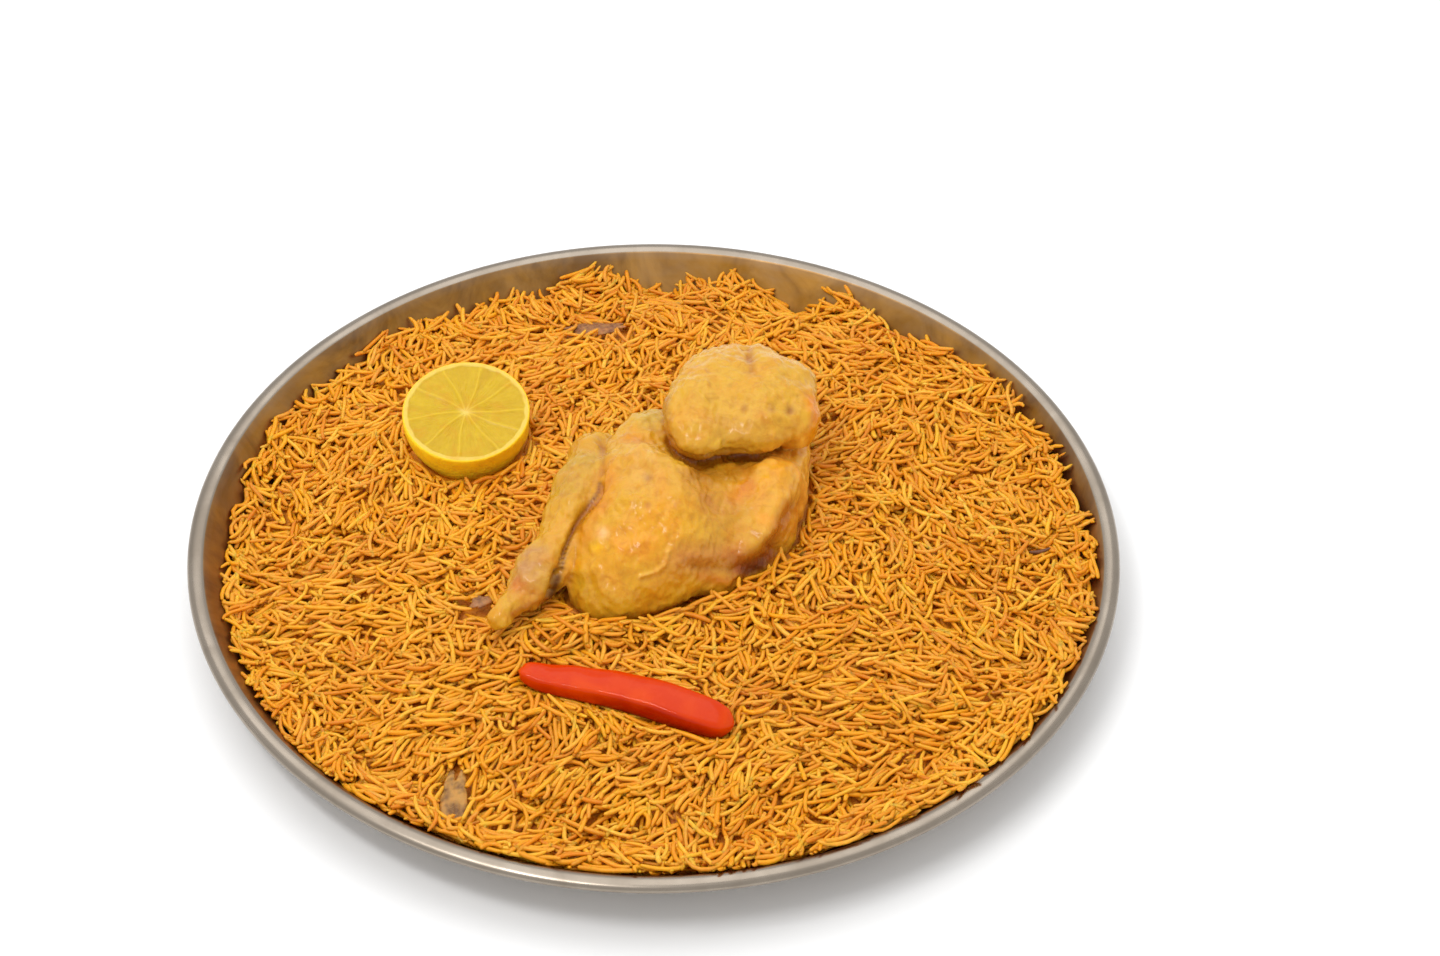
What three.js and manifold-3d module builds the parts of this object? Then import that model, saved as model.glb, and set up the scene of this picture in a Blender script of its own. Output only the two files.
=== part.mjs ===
// A round steel tray of spiced rice with half a chicken, half a lemon, a red pepper strip and onion pieces.
// Millimetres, +Z up. The origin is the middle of the tray's underside, on the surface it stands on.
// +X points to the tray's right and +Y to its back, as it is served.

import * as THREE from 'three';
import { mergeVertices } from 'three/addons/utils/BufferGeometryUtils.js';
import Module from 'manifold-3d';

const wasm = await Module();
wasm.setup();

const degrees = Math.PI / 180;

// Tray
const trayRadius = 200;
const trayHeight = 30;
const sheet = 1; // steel thickness
const rimWidth = 8; // rolled rim, seen from above
const rimRise = 2.6; // crown of the rim over its outer edge
const rimInnerAngle = 150; // where the rim's crown runs into the wall
const rimOuterAngle = -14; // where the rim's edge turns under
const floorRadius = 171; // where the flat floor would meet the sloping wall
const floorFillet = 5;
const traySides = 56;

// Rice
const gap = 0.35; // clearance between touching pieces
const bumpLength = 20; // one bump of the surface, about as long as a grain
const bumpsAbreast = 3; // bumps side by side in one square block
const bumpRise = 2.4; // ridge of a bump over the valleys beside it
const bumpUneven = 0.9; // spread of the rises, as a share of the mean one
const bumpTurn = 24; // degrees between the blocks and the tray's axes
const bumpBend = 13; // sideways swing of the rows of blocks
const bumpBendLength = 40; // length over which the rows swing, through one radian
const bumpStray = 0.5; // random shift of each corner, as a share of a bump's width
const bumpJitter = 0.8; // random height of each corner
const bumpSeed = 7;
const riceEdge = 18; // level of the rice at the wall
const riceLean = { x: 0.012, y: 0.008 }; // rise of the heap towards the right and the back
const riceCrown = 33; // level of the rice in the middle
const riceSpread = 186; // radius at which the rice is down to its edge level
const riceLumps = [
  { x: 1 / 21, y: 1 / 25, rise: 0.9 },
  { x: 1 / 17, y: -1 / 12, rise: 0.7 },
];

// Lemon half
const lemonRadius = 28.2;
const lemonDepth = 33;
const pithWidth = 3.6;
const fleshSink = 0.5; // the cut flesh under its ring of pith
const lemonSides = 22;
const lemonTilt = 6; // degrees, towards the front
const lemonPlace = new THREE.Vector3(-83.3, 61.9, 44.5); // middle of the cut face

// Pepper strip
const pepperEnds = [[-56, -84], [32.5, -111]];
const pepperHalfWidth = 9;
const pepperHeight = 6; // over the middle of the strip
const pepperDepth = 4.5;
const pepperLift = 2.2; // middle of the strip over the rice

// Half chicken
const meatLevel = 46; // middle of the body
const wingLevel = 69; // middle of the wing folded over it
const bedSides = 0.6; // share of the body's sides that its bed in the rice keeps
const bedClearance = 2.2;

// Cooked onion
const onionLift = 1.6; // middle of a piece over the rice
const onionWave = 0.6;

const finish = {
  steel: { color: 0xb3aaa0, roughness: 0.36, metalness: 1 },
  rice: { color: 0xd38a2b, roughness: 0.6, metalness: 0 },
  skin: { color: 0xdfa244, roughness: 0.45, metalness: 0 },
  lemon: { color: 0xe6bb39, roughness: 0.4, metalness: 0 },
  pepper: { color: 0xd5481f, roughness: 0.25, metalness: 0 },
  onion: { color: 0xa9744a, roughness: 0.4, metalness: 0 },
};

// A seeded draw of numbers between 0 and 1
function seededDraw(seed) {
  let state = seed;
  return () => {
    state = (state + 0x6d2b79f5) | 0;
    let mixed = Math.imul(state ^ (state >>> 15), 1 | state);
    mixed = (mixed + Math.imul(mixed ^ (mixed >>> 7), 61 | mixed)) ^ mixed;
    return ((mixed ^ (mixed >>> 14)) >>> 0) / 2 ** 32;
  };
}

// Points along an arc of an ellipse, for a profile of radius and height
function arcPoints(centre, halfR, halfZ, fromAngle, toAngle, steps) {
  const points = [];
  for (let step = 0; step <= steps; step += 1) {
    const angle = (fromAngle + ((toAngle - fromAngle) * step) / steps) * degrees;
    points.push(new THREE.Vector2(centre.x + halfR * Math.cos(angle), centre.y + halfZ * Math.sin(angle)));
  }
  return points;
}

// Turns a profile about the upright axis
function turned(profile, sides) {
  const shape = new THREE.LatheGeometry(profile, sides);
  shape.rotateX(Math.PI / 2);
  return shape;
}

// Shares the corners of a shape and drops the triangles that have shrunk to a line
function welded(shape) {
  const bare = shape.clone();
  bare.deleteAttribute('normal');
  bare.deleteAttribute('uv');
  const merged = mergeVertices(bare, 1e-4);
  const corners = merged.getIndex().array;
  const kept = [];
  for (let i = 0; i < corners.length; i += 3) {
    const [a, b, c] = [corners[i], corners[i + 1], corners[i + 2]];
    if (a !== b && b !== c && c !== a) kept.push(a, b, c);
  }
  merged.setIndex(kept);
  return merged;
}

function toSolid(shape) {
  const closed = welded(shape);
  return new wasm.Manifold(new wasm.Mesh({
    numProp: 3,
    vertProperties: new Float32Array(closed.getAttribute('position').array),
    triVerts: new Uint32Array(closed.getIndex().array),
  }));
}

function toShape(solid) {
  const mesh = solid.getMesh();
  const shape = new THREE.BufferGeometry();
  shape.setAttribute('position', new THREE.BufferAttribute(new Float32Array(mesh.vertProperties), 3));
  shape.setIndex(new THREE.BufferAttribute(new Uint32Array(mesh.triVerts), 1));
  shape.computeVertexNormals();
  return shape;
}

function joined(solids) {
  return solids.reduce((whole, next) => whole.add(next));
}

// Tray: a flat floor, a sloping wall and a rolled rim that is open underneath
const rimCentre = new THREE.Vector2(trayRadius - rimWidth / 2, trayHeight - rimRise);
const wallTop = arcPoints(rimCentre, rimWidth / 2, rimRise, rimInnerAngle, rimInnerAngle, 1)[0];
const wallAngle = Math.atan2(wallTop.y - sheet, wallTop.x - floorRadius);
const cornerCentre = new THREE.Vector2(
  floorRadius - floorFillet * Math.tan(wallAngle / 2),
  sheet + floorFillet,
);

function cornerArc(radius) {
  return arcPoints(cornerCentre, radius, radius, -90, -90 + wallAngle / degrees, 2);
}

function trayShape() {
  const under = arcPoints(rimCentre, rimWidth / 2 - sheet, rimRise - sheet, rimInnerAngle, rimOuterAngle, 2);
  const over = arcPoints(rimCentre, rimWidth / 2, rimRise, rimOuterAngle, rimInnerAngle, 5);
  const profile = [
    new THREE.Vector2(0, 0),
    ...cornerArc(floorFillet + sheet),
    ...under,
    ...over,
    ...cornerArc(floorFillet).reverse(),
    new THREE.Vector2(0, sheet),
  ];
  return turned(profile, traySides);
}

// A lobe of flesh: a sphere drawn out along a bent spine. At each step of the spine, sizes gives the
// half width, the height over the spine and the depth below it.
function lobe({ spine, sizes, around, along, blunt = 0.5 }, grow = 0) {
  const path = new THREE.CatmullRomCurve3(spine.map((place) => new THREE.Vector3(...place)));
  const girth = new THREE.CatmullRomCurve3(sizes.map((size) => new THREE.Vector3(...size)));
  const shape = welded(new THREE.SphereGeometry(1, around, along));
  const places = shape.getAttribute('position');
  const up = new THREE.Vector3(0, 0, 1);
  for (let i = 0; i < places.count; i += 1) {
    const axial = THREE.MathUtils.clamp(places.getY(i), -1, 1);
    const radial = Math.hypot(places.getX(i), places.getZ(i));
    const fuller = radial > 1e-6 ? radial ** (blunt - 1) : 0;
    const across = -places.getX(i) * fuller;
    const rise = places.getZ(i) * fuller;
    const station = (1 - axial) / 2;
    const size = girth.getPoint(station);
    const ahead = path.getTangent(station);
    const side = new THREE.Vector3().crossVectors(ahead, up).normalize();
    const over = new THREE.Vector3().crossVectors(side, ahead);
    const place = path.getPoint(station);
    place.addScaledVector(side, across * (size.x + grow));
    place.addScaledVector(over, rise * ((rise > 0 ? size.y : size.z) + grow));
    place.addScaledVector(ahead, -axial * grow);
    places.setXYZ(i, place.x, place.y, place.z);
  }
  return shape;
}

// Half chicken, cut side down: breast and thigh, the back beside them and the drumstick laid along them
const bodyLobes = {
  breast: {
    spine: [
      [-22, -63, meatLevel - 12],
      [-7, -35, meatLevel - 3],
      [8, 0, meatLevel + 1],
      [15, 32, meatLevel],
      [16, 60, meatLevel - 5],
    ],
    sizes: [[26, 15, 12], [34, 22, 21], [41, 26, 25], [40, 22, 25], [32, 16, 20]],
    around: 22,
    along: 13,
  },
  back: {
    spine: [
      [16, -44, meatLevel - 13],
      [35, -17, meatLevel - 7],
      [45, 12, meatLevel - 4],
      [49, 40, meatLevel - 3],
      [44, 68, meatLevel - 7],
    ],
    sizes: [[14, 12, 10], [19, 18, 18], [20, 20, 22], [19, 19, 22], [18, 16, 18]],
    around: 18,
    along: 11,
  },
  drumstick: {
    spine: [
      [-66, -64, meatLevel - 7],
      [-54, -45, meatLevel - 5],
      [-43.5, -22, meatLevel - 3],
      [-35, 8, meatLevel],
      [-27, 44, meatLevel],
    ],
    sizes: [[6, 5, 5], [9.5, 9, 8], [9, 10, 10], [12, 12, 14], [10, 10, 12]],
    around: 14,
    along: 14,
  },
};

// The wing, folded flat over the shoulder, with its tip on the left and its elbow on the right
const wingLobes = {
  wingFlap: {
    spine: [
      [36, 88, wingLevel - 13],
      [36, 64, wingLevel - 4],
      [38, 36, wingLevel - 1],
      [40, 11, wingLevel - 3],
    ],
    sizes: [[17, 8, 10], [27, 11, 12], [29, 12, 12], [24, 10, 9]],
    around: 18,
    along: 11,
  },
  wingTip: {
    spine: [
      [25, 68, wingLevel - 3],
      [19, 36, wingLevel],
      [20, 1, wingLevel - 2],
    ],
    sizes: [[11, 9, 10], [14, 11, 12], [13, 9, 10]],
    around: 14,
    along: 9,
  },
  wingElbow: {
    spine: [
      [54, 77, wingLevel - 14],
      [58, 57, wingLevel - 6],
      [58, 36, wingLevel - 5],
      [56, 14, wingLevel - 7],
    ],
    sizes: [[12, 9, 12], [13, 11, 18], [13, 11, 16], [12, 9, 12]],
    around: 14,
    along: 9,
  },
};

function chicken() {
  const lobes = [...Object.values(bodyLobes), ...Object.values(wingLobes)];
  return joined(lobes.map((part) => toSolid(lobe(part))));
}

// The bed that the body has pressed into the rice: its lobes with fewer sides, clear of the true ones
function chickenBed() {
  return joined(Object.values(bodyLobes).map((part) => {
    const [around, along] = [part.around, part.along].map((sides) => Math.round(sides * bedSides));
    return toSolid(lobe({ ...part, around, along }, bedClearance));
  }));
}

// Lemon half: a cut face with its ring of pith over a rounded peel
function lemon(grow = 0) {
  const flesh = lemonRadius - pithWidth;
  const coreRadius = lemonRadius / 12;
  const profile = [
    ...arcPoints(new THREE.Vector2(0, 0), lemonRadius + grow, lemonDepth + grow, -90, -2, 6),
    new THREE.Vector2(lemonRadius - fleshSink, grow),
    new THREE.Vector2(flesh + fleshSink, grow),
    new THREE.Vector2(flesh, grow - fleshSink),
    new THREE.Vector2(coreRadius, grow - fleshSink),
    new THREE.Vector2(0, grow - 2 * fleshSink),
  ];
  profile[0].x = 0;
  const shape = turned(profile, lemonSides);
  shape.rotateX(lemonTilt * degrees);
  shape.translate(...lemonPlace);
  return toSolid(shape);
}

// Level of the rice: a low mound with soft lumps, and two bays where the back of the tray shows
const riceBays = [{ x: 4, y: 181, radius: 13, depth: 7 }, { x: 67, y: 170, radius: 15, depth: 6 }];

function riceLevel(x, y) {
  const reach = Math.hypot(x, y) / riceSpread;
  const mound = riceEdge + (riceCrown - riceEdge) * (1 - reach * reach);
  let level = mound + riceLean.x * x + riceLean.y * y;
  riceLumps.forEach((lump) => {
    level += lump.rise * Math.sin(lump.x * x + lump.y * y);
  });
  riceBays.forEach((bay) => {
    const away = Math.hypot(x - bay.x, y - bay.y) / bay.radius;
    level -= bay.depth * Math.exp(-away * away);
  });
  return level;
}

// Pepper strip, skin up, half sunk in the rice
function pepper(grow = 0) {
  const steps = [0, 0.3, 0.65, 1];
  const [from, to] = pepperEnds.map((end) => new THREE.Vector2(...end));
  const spine = steps.map((step) => {
    const place = from.clone().lerp(to, step);
    return [place.x, place.y, riceLevel(place.x, place.y) + pepperLift];
  });
  const girth = [0.8, 0.95, 1, 0.95];
  const sizes = girth.map((part) => [pepperHalfWidth * part, pepperHeight * part, pepperDepth * part]);
  return toSolid(lobe({ spine, sizes, around: 12, along: 11, blunt: 0.4 }, grow));
}

// Cooked onion, in thin pieces that lie on the rice
const onionPieces = {
  onion_front: {
    ends: [[-81, -129], [-79, -158]],
    sizes: [[4, 2.2, 2], [6.5, 3, 2], [5, 2.4, 2], [6, 2.8, 2], [3, 2, 2]],
  },
  onion_back: {
    ends: [[-32, 145], [-13, 148]],
    sizes: [[3, 2, 2], [6, 2.8, 2], [4.6, 2.6, 2]],
  },
  onion_side: {
    ends: [[-75, -51], [-69, -40]],
    sizes: [[3.4, 2.4, 2], [4.6, 3.4, 2.4], [3, 2.6, 2]],
  },
};

function onion({ ends, sizes }, grow = 0) {
  const [from, to] = ends.map((end) => new THREE.Vector2(...end));
  const spine = sizes.map((size, step) => {
    const place = from.clone().lerp(to, step / (sizes.length - 1));
    const wave = onionWave * Math.cos(step * Math.PI);
    return [place.x, place.y, riceLevel(place.x, place.y) + onionLift + wave];
  });
  return toSolid(lobe({ spine, sizes, around: 8, along: 7 }, grow));
}

// The rice's surface is a parquet of blocks, each of three grain-long bumps that lie one way or the other.
// The block's border holds a corner at every bump's side, so that neighbours meet corner to corner.
function riceSurface(base) {
  const pitch = bumpLength / bumpsAbreast;
  const reach = Math.ceil((trayRadius + bumpLength) / bumpLength);
  const draw = seededDraw(bumpSeed);
  const places = [];
  const triangles = [];
  const known = new Map();

  const corner = (a, b, lift) => {
    const key = `${a},${b}`;
    if (!known.has(key)) {
      const u = (a + bumpStray * (draw() - 0.5)) * pitch;
      const v = (b + bumpStray * (draw() - 0.5)) * pitch;
      const bentU = u + bumpBend * Math.sin(v / bumpBendLength);
      const bentV = v + bumpBend * Math.cos(u / bumpBendLength);
      const x = bentU * Math.cos(bumpTurn * degrees) - bentV * Math.sin(bumpTurn * degrees);
      const y = bentU * Math.sin(bumpTurn * degrees) + bentV * Math.cos(bumpTurn * degrees);
      known.set(key, places.length / 3);
      places.push(x, y, riceLevel(x, y) + lift + bumpJitter * (draw() - 0.5));
    }
    return known.get(key);
  };
  const rise = () => bumpRise * (1 + bumpUneven * (draw() - 0.5));

  // A fan of triangles from a ridge end over a run of corners
  const fan = (tip, run) => {
    for (let i = 1; i < run.length; i += 1) triangles.push(tip, run[i - 1], run[i]);
  };

  const bump = (at, side) => {
    // at(across, along) gives a corner of this bump's block
    const [left, right] = [side, side + 1];
    const near = at(side + 0.5, 0.5, rise());
    const far = at(side + 0.5, bumpsAbreast - 0.5, rise());
    const run = (across, outer) => (outer ? [0, 1, 2, 3] : [0, 3]).map((along) => at(across, along, 0));
    const rightRun = run(right, right === bumpsAbreast);
    const leftRun = run(left, left === 0);
    fan(near, [leftRun[0], rightRun[0]]);
    fan(far, [rightRun[rightRun.length - 1], leftRun[leftRun.length - 1]]);
    const half = (list) => Math.ceil(list.length / 2);
    fan(near, rightRun.slice(0, half(rightRun)));
    triangles.push(near, rightRun[half(rightRun) - 1], far);
    fan(far, rightRun.slice(half(rightRun) - 1));
    const back = [...leftRun].reverse();
    fan(far, back.slice(0, half(back)));
    triangles.push(far, back[half(back) - 1], near);
    fan(near, back.slice(half(back) - 1));
  };

  for (let i = -reach; i < reach; i += 1) {
    for (let j = -reach; j < reach; j += 1) {
      const upright = draw() < 0.5;
      const [a0, b0] = [i * bumpsAbreast, j * bumpsAbreast];
      const at = upright
        ? (across, along, lift) => corner(a0 + across, b0 + along, lift)
        : (across, along, lift) => corner(a0 + along, b0 + bumpsAbreast - across, lift);
      for (let side = 0; side < bumpsAbreast; side += 1) bump(at, side);
    }
  }

  // Sides and base
  const rim = [];
  const last = reach * bumpsAbreast;
  for (let k = -last; k < last; k += 1) rim.push([k, -last]);
  for (let k = -last; k < last; k += 1) rim.push([last, k]);
  for (let k = last; k > -last; k -= 1) rim.push([k, last]);
  for (let k = last; k > -last; k -= 1) rim.push([-last, k]);
  const top = rim.map(([a, b]) => corner(a, b, 0));
  const foot = top.map((index) => {
    places.push(places[3 * index], places[3 * index + 1], base);
    return places.length / 3 - 1;
  });
  places.push(0, 0, base);
  const middle = places.length / 3 - 1;
  for (let k = 0; k < top.length; k += 1) {
    const next = (k + 1) % top.length;
    triangles.push(top[k], foot[k], foot[next], top[k], foot[next], top[next], middle, foot[next], foot[k]);
  }
  const shape = new THREE.BufferGeometry();
  shape.setAttribute('position', new THREE.BufferAttribute(new Float32Array(places), 3));
  shape.setIndex(triangles);
  return shape;
}

// The space that the rice may fill, a gap inside the tray
function riceRoom() {
  const roof = riceCrown + 20;
  const wallInset = gap / Math.sin(wallAngle);
  const roofRadius = floorRadius + (roof - sheet) / Math.tan(wallAngle) - wallInset;
  const profile = [
    new THREE.Vector2(0, sheet + gap),
    ...cornerArc(floorFillet - gap),
    new THREE.Vector2(roofRadius, roof),
    new THREE.Vector2(0, roof),
  ];
  return toSolid(turned(profile, traySides));
}

function rice() {
  let heap = toSolid(riceSurface(-sheet)).intersect(riceRoom());
  const toppings = [chickenBed(), lemon(gap), pepper(gap)];
  Object.values(onionPieces).forEach((piece) => toppings.push(onion(piece, gap)));
  toppings.forEach((topping) => {
    heap = heap.subtract(topping);
  });
  return heap;
}

const dish = new THREE.Group();

function addPiece(name, shape, look) {
  const mesh = new THREE.Mesh(shape, new THREE.MeshStandardMaterial(look));
  mesh.name = name;
  dish.add(mesh);
}

addPiece('tray', welded(trayShape()), finish.steel);
addPiece('rice', toShape(rice()), finish.rice);
addPiece('half_chicken', toShape(chicken()), finish.skin);
addPiece('lemon_half', toShape(lemon()), finish.lemon);
addPiece('pepper_strip', toShape(pepper()), finish.pepper);
Object.entries(onionPieces).forEach(([name, piece]) => addPiece(name, toShape(onion(piece)), finish.onion));

export default dish;
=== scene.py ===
import math

import bpy
import numpy as np
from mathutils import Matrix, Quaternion, Vector


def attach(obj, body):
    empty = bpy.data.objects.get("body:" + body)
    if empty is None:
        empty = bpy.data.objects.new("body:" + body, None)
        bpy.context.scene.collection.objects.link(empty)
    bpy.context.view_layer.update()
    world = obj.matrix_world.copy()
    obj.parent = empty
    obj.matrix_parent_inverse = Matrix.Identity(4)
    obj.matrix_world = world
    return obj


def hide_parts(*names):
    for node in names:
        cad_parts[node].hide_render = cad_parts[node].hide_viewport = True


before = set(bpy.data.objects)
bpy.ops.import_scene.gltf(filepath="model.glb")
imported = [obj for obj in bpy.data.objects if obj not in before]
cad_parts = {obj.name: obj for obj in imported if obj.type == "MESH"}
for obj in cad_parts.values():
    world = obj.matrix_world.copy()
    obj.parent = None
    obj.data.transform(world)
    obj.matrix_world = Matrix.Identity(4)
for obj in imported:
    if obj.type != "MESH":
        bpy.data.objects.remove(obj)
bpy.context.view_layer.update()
mm = 0.001


# Helpers that every piece uses

def clearSelection():
    if bpy.context.object and bpy.context.object.mode != "OBJECT":
        bpy.ops.object.mode_set(mode="OBJECT")
    bpy.ops.object.select_all(action="DESELECT")


def pick(*pieces):
    clearSelection()
    for piece in pieces:
        piece.select_set(True)
    bpy.context.view_layer.objects.active = pieces[0]


def freezePlace(piece):
    pick(piece)
    bpy.ops.object.transform_apply(location=True, rotation=True, scale=True)


def finishWith(piece, kind, **choices):
    pick(piece)
    bpy.ops.object.modifier_add(type=kind)
    modifier = piece.modifiers[-1]
    for name, value in choices.items():
        setattr(modifier, name, value)
    bpy.ops.object.modifier_apply(modifier=modifier.name)


def smoothShade(piece, degrees=None):
    pick(piece)
    if degrees is None:
        bpy.ops.object.shade_smooth()
    else:
        bpy.ops.object.shade_smooth_by_angle(angle=math.radians(degrees))


def editAll(piece):
    pick(piece)
    bpy.ops.object.mode_set(mode="EDIT")
    bpy.ops.mesh.select_all(action="SELECT")


def faceOutwards(piece):
    editAll(piece)
    bpy.ops.mesh.normals_make_consistent(inside=False)
    bpy.ops.object.mode_set(mode="OBJECT")


def layAlongX(piece):
    editAll(piece)
    bpy.ops.transform.rotate(value=math.pi / 2, orient_axis="Y", center_override=(0, 0, 0))
    bpy.ops.object.mode_set(mode="OBJECT")


def addSphere(segments, rings):
    clearSelection()
    bpy.ops.mesh.primitive_uv_sphere_add(segments=segments, ring_count=rings, radius=mm)
    return bpy.context.object


def readPlaces(piece):
    places = np.empty(len(piece.data.vertices) * 3)
    piece.data.vertices.foreach_get("co", places)
    return places.reshape(-1, 3) / mm


def writePlaces(piece, places):
    piece.data.vertices.foreach_set("co", np.asarray(places * mm, np.float32).ravel())
    piece.data.update()


def readNormals(piece):
    normals = np.empty(len(piece.data.vertices) * 3)
    piece.data.vertex_normals.foreach_get("vector", normals)
    return normals.reshape(-1, 3)


def paint(piece, name, colours):
    layer = piece.data.color_attributes.new(name, "FLOAT_COLOR", "POINT")
    full = np.ones((len(piece.data.vertices), 4), np.float32)
    full[:, :3] = colours
    layer.data.foreach_set("color", full.ravel())


def tone(red, green, blue):  # a colour of 0 to 255 in Blender's linear values
    shares = np.array([red, green, blue], float) / 255
    return np.where(shares <= 0.04045, shares / 12.92, ((shares + 0.055) / 1.055) ** 2.4)


def rgba(colour):
    return (*[float(part) for part in colour], 1.0)


def blendTones(base, other, share):
    share = np.asarray(share, float)[:, None]
    return base * (1 - share) + other * share


def ease(value, low, high):
    share = np.clip((np.asarray(value, float) - low) / (high - low), 0, 1)
    return share * share * (3 - 2 * share)


def ripple(places, length, seed, count=16):
    # a smooth random field, about -1 to 1, with this wavelength in mm
    draw = np.random.default_rng(seed)
    directions = draw.normal(size=(count, places.shape[1]))
    directions /= np.linalg.norm(directions, axis=1)[:, None]
    pulls = directions * (2 * math.pi / length) * draw.uniform(0.6, 1.4, (count, 1))
    phases = draw.uniform(0, 2 * math.pi, count)
    total = np.zeros(len(places))
    for pull, phase in zip(pulls, phases):
        total += np.sin(places @ pull + phase)
    return total / math.sqrt(count)


def curveAt(points, shares):
    # a smooth curve through the points, read at these shares of its way
    points = np.asarray(points, float)
    last = len(points) - 1
    spot = np.clip(np.asarray(shares, float) * last, 0, last - 1e-9)
    step = spot.astype(int)
    t = (spot - step)[:, None]
    ends = np.vstack([2 * points[0] - points[1], points, 2 * points[-1] - points[-2]])
    a, b, c, d = [ends[step + offset] for offset in range(4)]
    square = (2 * a - 5 * b + 4 * c - d) * t**2
    cube = (3 * b - a - 3 * c + d) * t**3
    return 0.5 * (2 * b + (c - a) * t + square + cube)


def distanceTo(places, path, steps=24):
    route = curveAt(path, np.linspace(0, 1, steps)) if len(path) > 1 else np.array(path, float)
    nearest = np.full(len(places), 1e9)
    for spot in route:
        nearest = np.minimum(nearest, np.linalg.norm(places - spot, axis=1))
    return nearest


def patch(places, path, radius):
    return np.exp(-((distanceTo(places, path) / radius) ** 2))  # 1 on the path, fading over the radius


def heading(ends):
    # from two places seen from above: the start, the length, and the directions ahead and to the left
    start, end = np.array(ends, float)
    length = math.hypot(*(end - start))
    ahead = (end - start) / length
    return start, length, ahead, np.array([-ahead[1], ahead[0]])


def turnProfile(name, profile, sides):
    clearSelection()
    (radius, height), *steps = profile
    bpy.ops.mesh.primitive_circle_add(
        vertices=sides, radius=radius * mm, fill_type="NGON", location=(0, 0, height * mm)
    )
    piece = bpy.context.object
    piece.name = name
    freezePlace(piece)
    editAll(piece)
    for nextRadius, nextHeight in steps:
        bpy.ops.mesh.extrude_region_move(
            TRANSFORM_OT_translate={"value": (0, 0, (nextHeight - height) * mm)}
        )
        size = nextRadius / radius
        bpy.ops.transform.resize(value=(size, size, 1), center_override=(0, 0, nextHeight * mm))
        radius, height = nextRadius, nextHeight
    faceOutwards(piece)
    return piece


def arc(centre, across, upward, start, end, steps):
    angles = np.radians(np.linspace(start, end, steps + 1))
    return [(centre[0] + across * math.cos(a), centre[1] + upward * math.sin(a)) for a in angles]


# Material helpers

def feed(tree, socket, value):
    if isinstance(value, bpy.types.NodeSocket):
        tree.links.new(value, socket)
    else:
        socket.default_value = value


def newLook(name):
    look = bpy.data.materials.new(name)
    look.use_nodes = True
    return look, look.node_tree


def finishLook(look, inputs):
    shader = look.node_tree.nodes["Principled BSDF"]
    for name, value in inputs.items():
        feed(look.node_tree, shader.inputs[name], value)
    return look


def addNode(tree, kind, inputs=None, **settings):
    made = tree.nodes.new(kind)
    for name, value in settings.items():
        setattr(made, name, value)
    for name, value in (inputs or {}).items():
        feed(tree, made.inputs[name], value)
    return made


def objectPlaces(tree):
    return addNode(tree, "ShaderNodeTexCoord").outputs["Object"]


def attribute(tree, name, output="Color"):
    return addNode(tree, "ShaderNodeAttribute", attribute_name=name).outputs[output]


def noiseOn(tree, places, scale, detail=3.0, roughness=0.55, distortion=0.0):
    inputs = {"Vector": places, "Scale": scale, "Detail": detail, "Roughness": roughness}
    inputs["Distortion"] = distortion
    return addNode(tree, "ShaderNodeTexNoise", inputs).outputs["Fac"]


def poresOn(tree, places, scale):
    return addNode(tree, "ShaderNodeTexVoronoi", {"Vector": places, "Scale": scale}).outputs["Distance"]


def remap(tree, value, low, high, newLow, newHigh):
    inputs = {"Value": value, "From Min": low, "From Max": high, "To Min": newLow, "To Max": newHigh}
    return addNode(tree, "ShaderNodeMapRange", inputs).outputs["Result"]


def sums(tree, operation, first, second=0):
    made = addNode(tree, "ShaderNodeMath", operation=operation)
    feed(tree, made.inputs[0], first)
    feed(tree, made.inputs[1], second)
    return made.outputs[0]


def mixTones(tree, share, first, second, blend="MIX"):
    made = addNode(tree, "ShaderNodeMix", data_type="RGBA", blend_type=blend)
    values = {"Factor_Float": share, "A_Color": first, "B_Color": second}
    for socket in made.inputs:
        if socket.identifier in values:
            feed(tree, socket, values[socket.identifier])
    return next(s for s in made.outputs if s.identifier == "Result_Color")


def stain(tree, noise, low, high, share, base, colour, blend="MIX"):
    # the colour comes over the base as the noise goes from low to high, up to this share
    return mixTones(tree, remap(tree, noise, low, high, 0.0, share), base, rgba(colour), blend)


def bumpOn(tree, height, strength, distance, before=None):
    inputs = {"Height": height, "Strength": strength, "Distance": distance}
    if before is not None:
        inputs["Normal"] = before
    return addNode(tree, "ShaderNodeBump", inputs).outputs["Normal"]


# Camera, floor and light

cameraChoices = {
    "place": Vector((0.0, -1.04926, 1.02878)),
    "aim": Vector((0.02856, 0.03645, 0.028)),
    "roll": 1.0794,
    "lens": 84.085,
    "sensor": 36,
    "picture": (1440, 956),
    "clipEnd": 20,
}


def placeCamera():
    clearSelection()
    bpy.ops.object.camera_add(location=cameraChoices["place"])
    camera = bpy.context.object
    towards = (cameraChoices["aim"] - cameraChoices["place"]).to_track_quat("-Z", "Y")
    camera.rotation_mode = "QUATERNION"
    camera.rotation_quaternion = towards @ Quaternion((0, 0, 1), math.radians(cameraChoices["roll"]))
    camera.data.lens = cameraChoices["lens"]
    camera.data.sensor_width = cameraChoices["sensor"]
    camera.data.clip_end = cameraChoices["clipEnd"]
    bpy.context.scene.camera = camera


def inPicture(places):
    turn = np.array(bpy.context.scene.camera.rotation_quaternion.to_matrix())
    seen = (places * mm - np.array(cameraChoices["place"])) @ turn
    width, height = cameraChoices["picture"]
    focus = cameraChoices["lens"] / cameraChoices["sensor"] * width
    across, upward = focus * seen[:, :2].T / seen[:, 2]
    return np.column_stack([width / 2 - across, height / 2 + upward])


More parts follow.
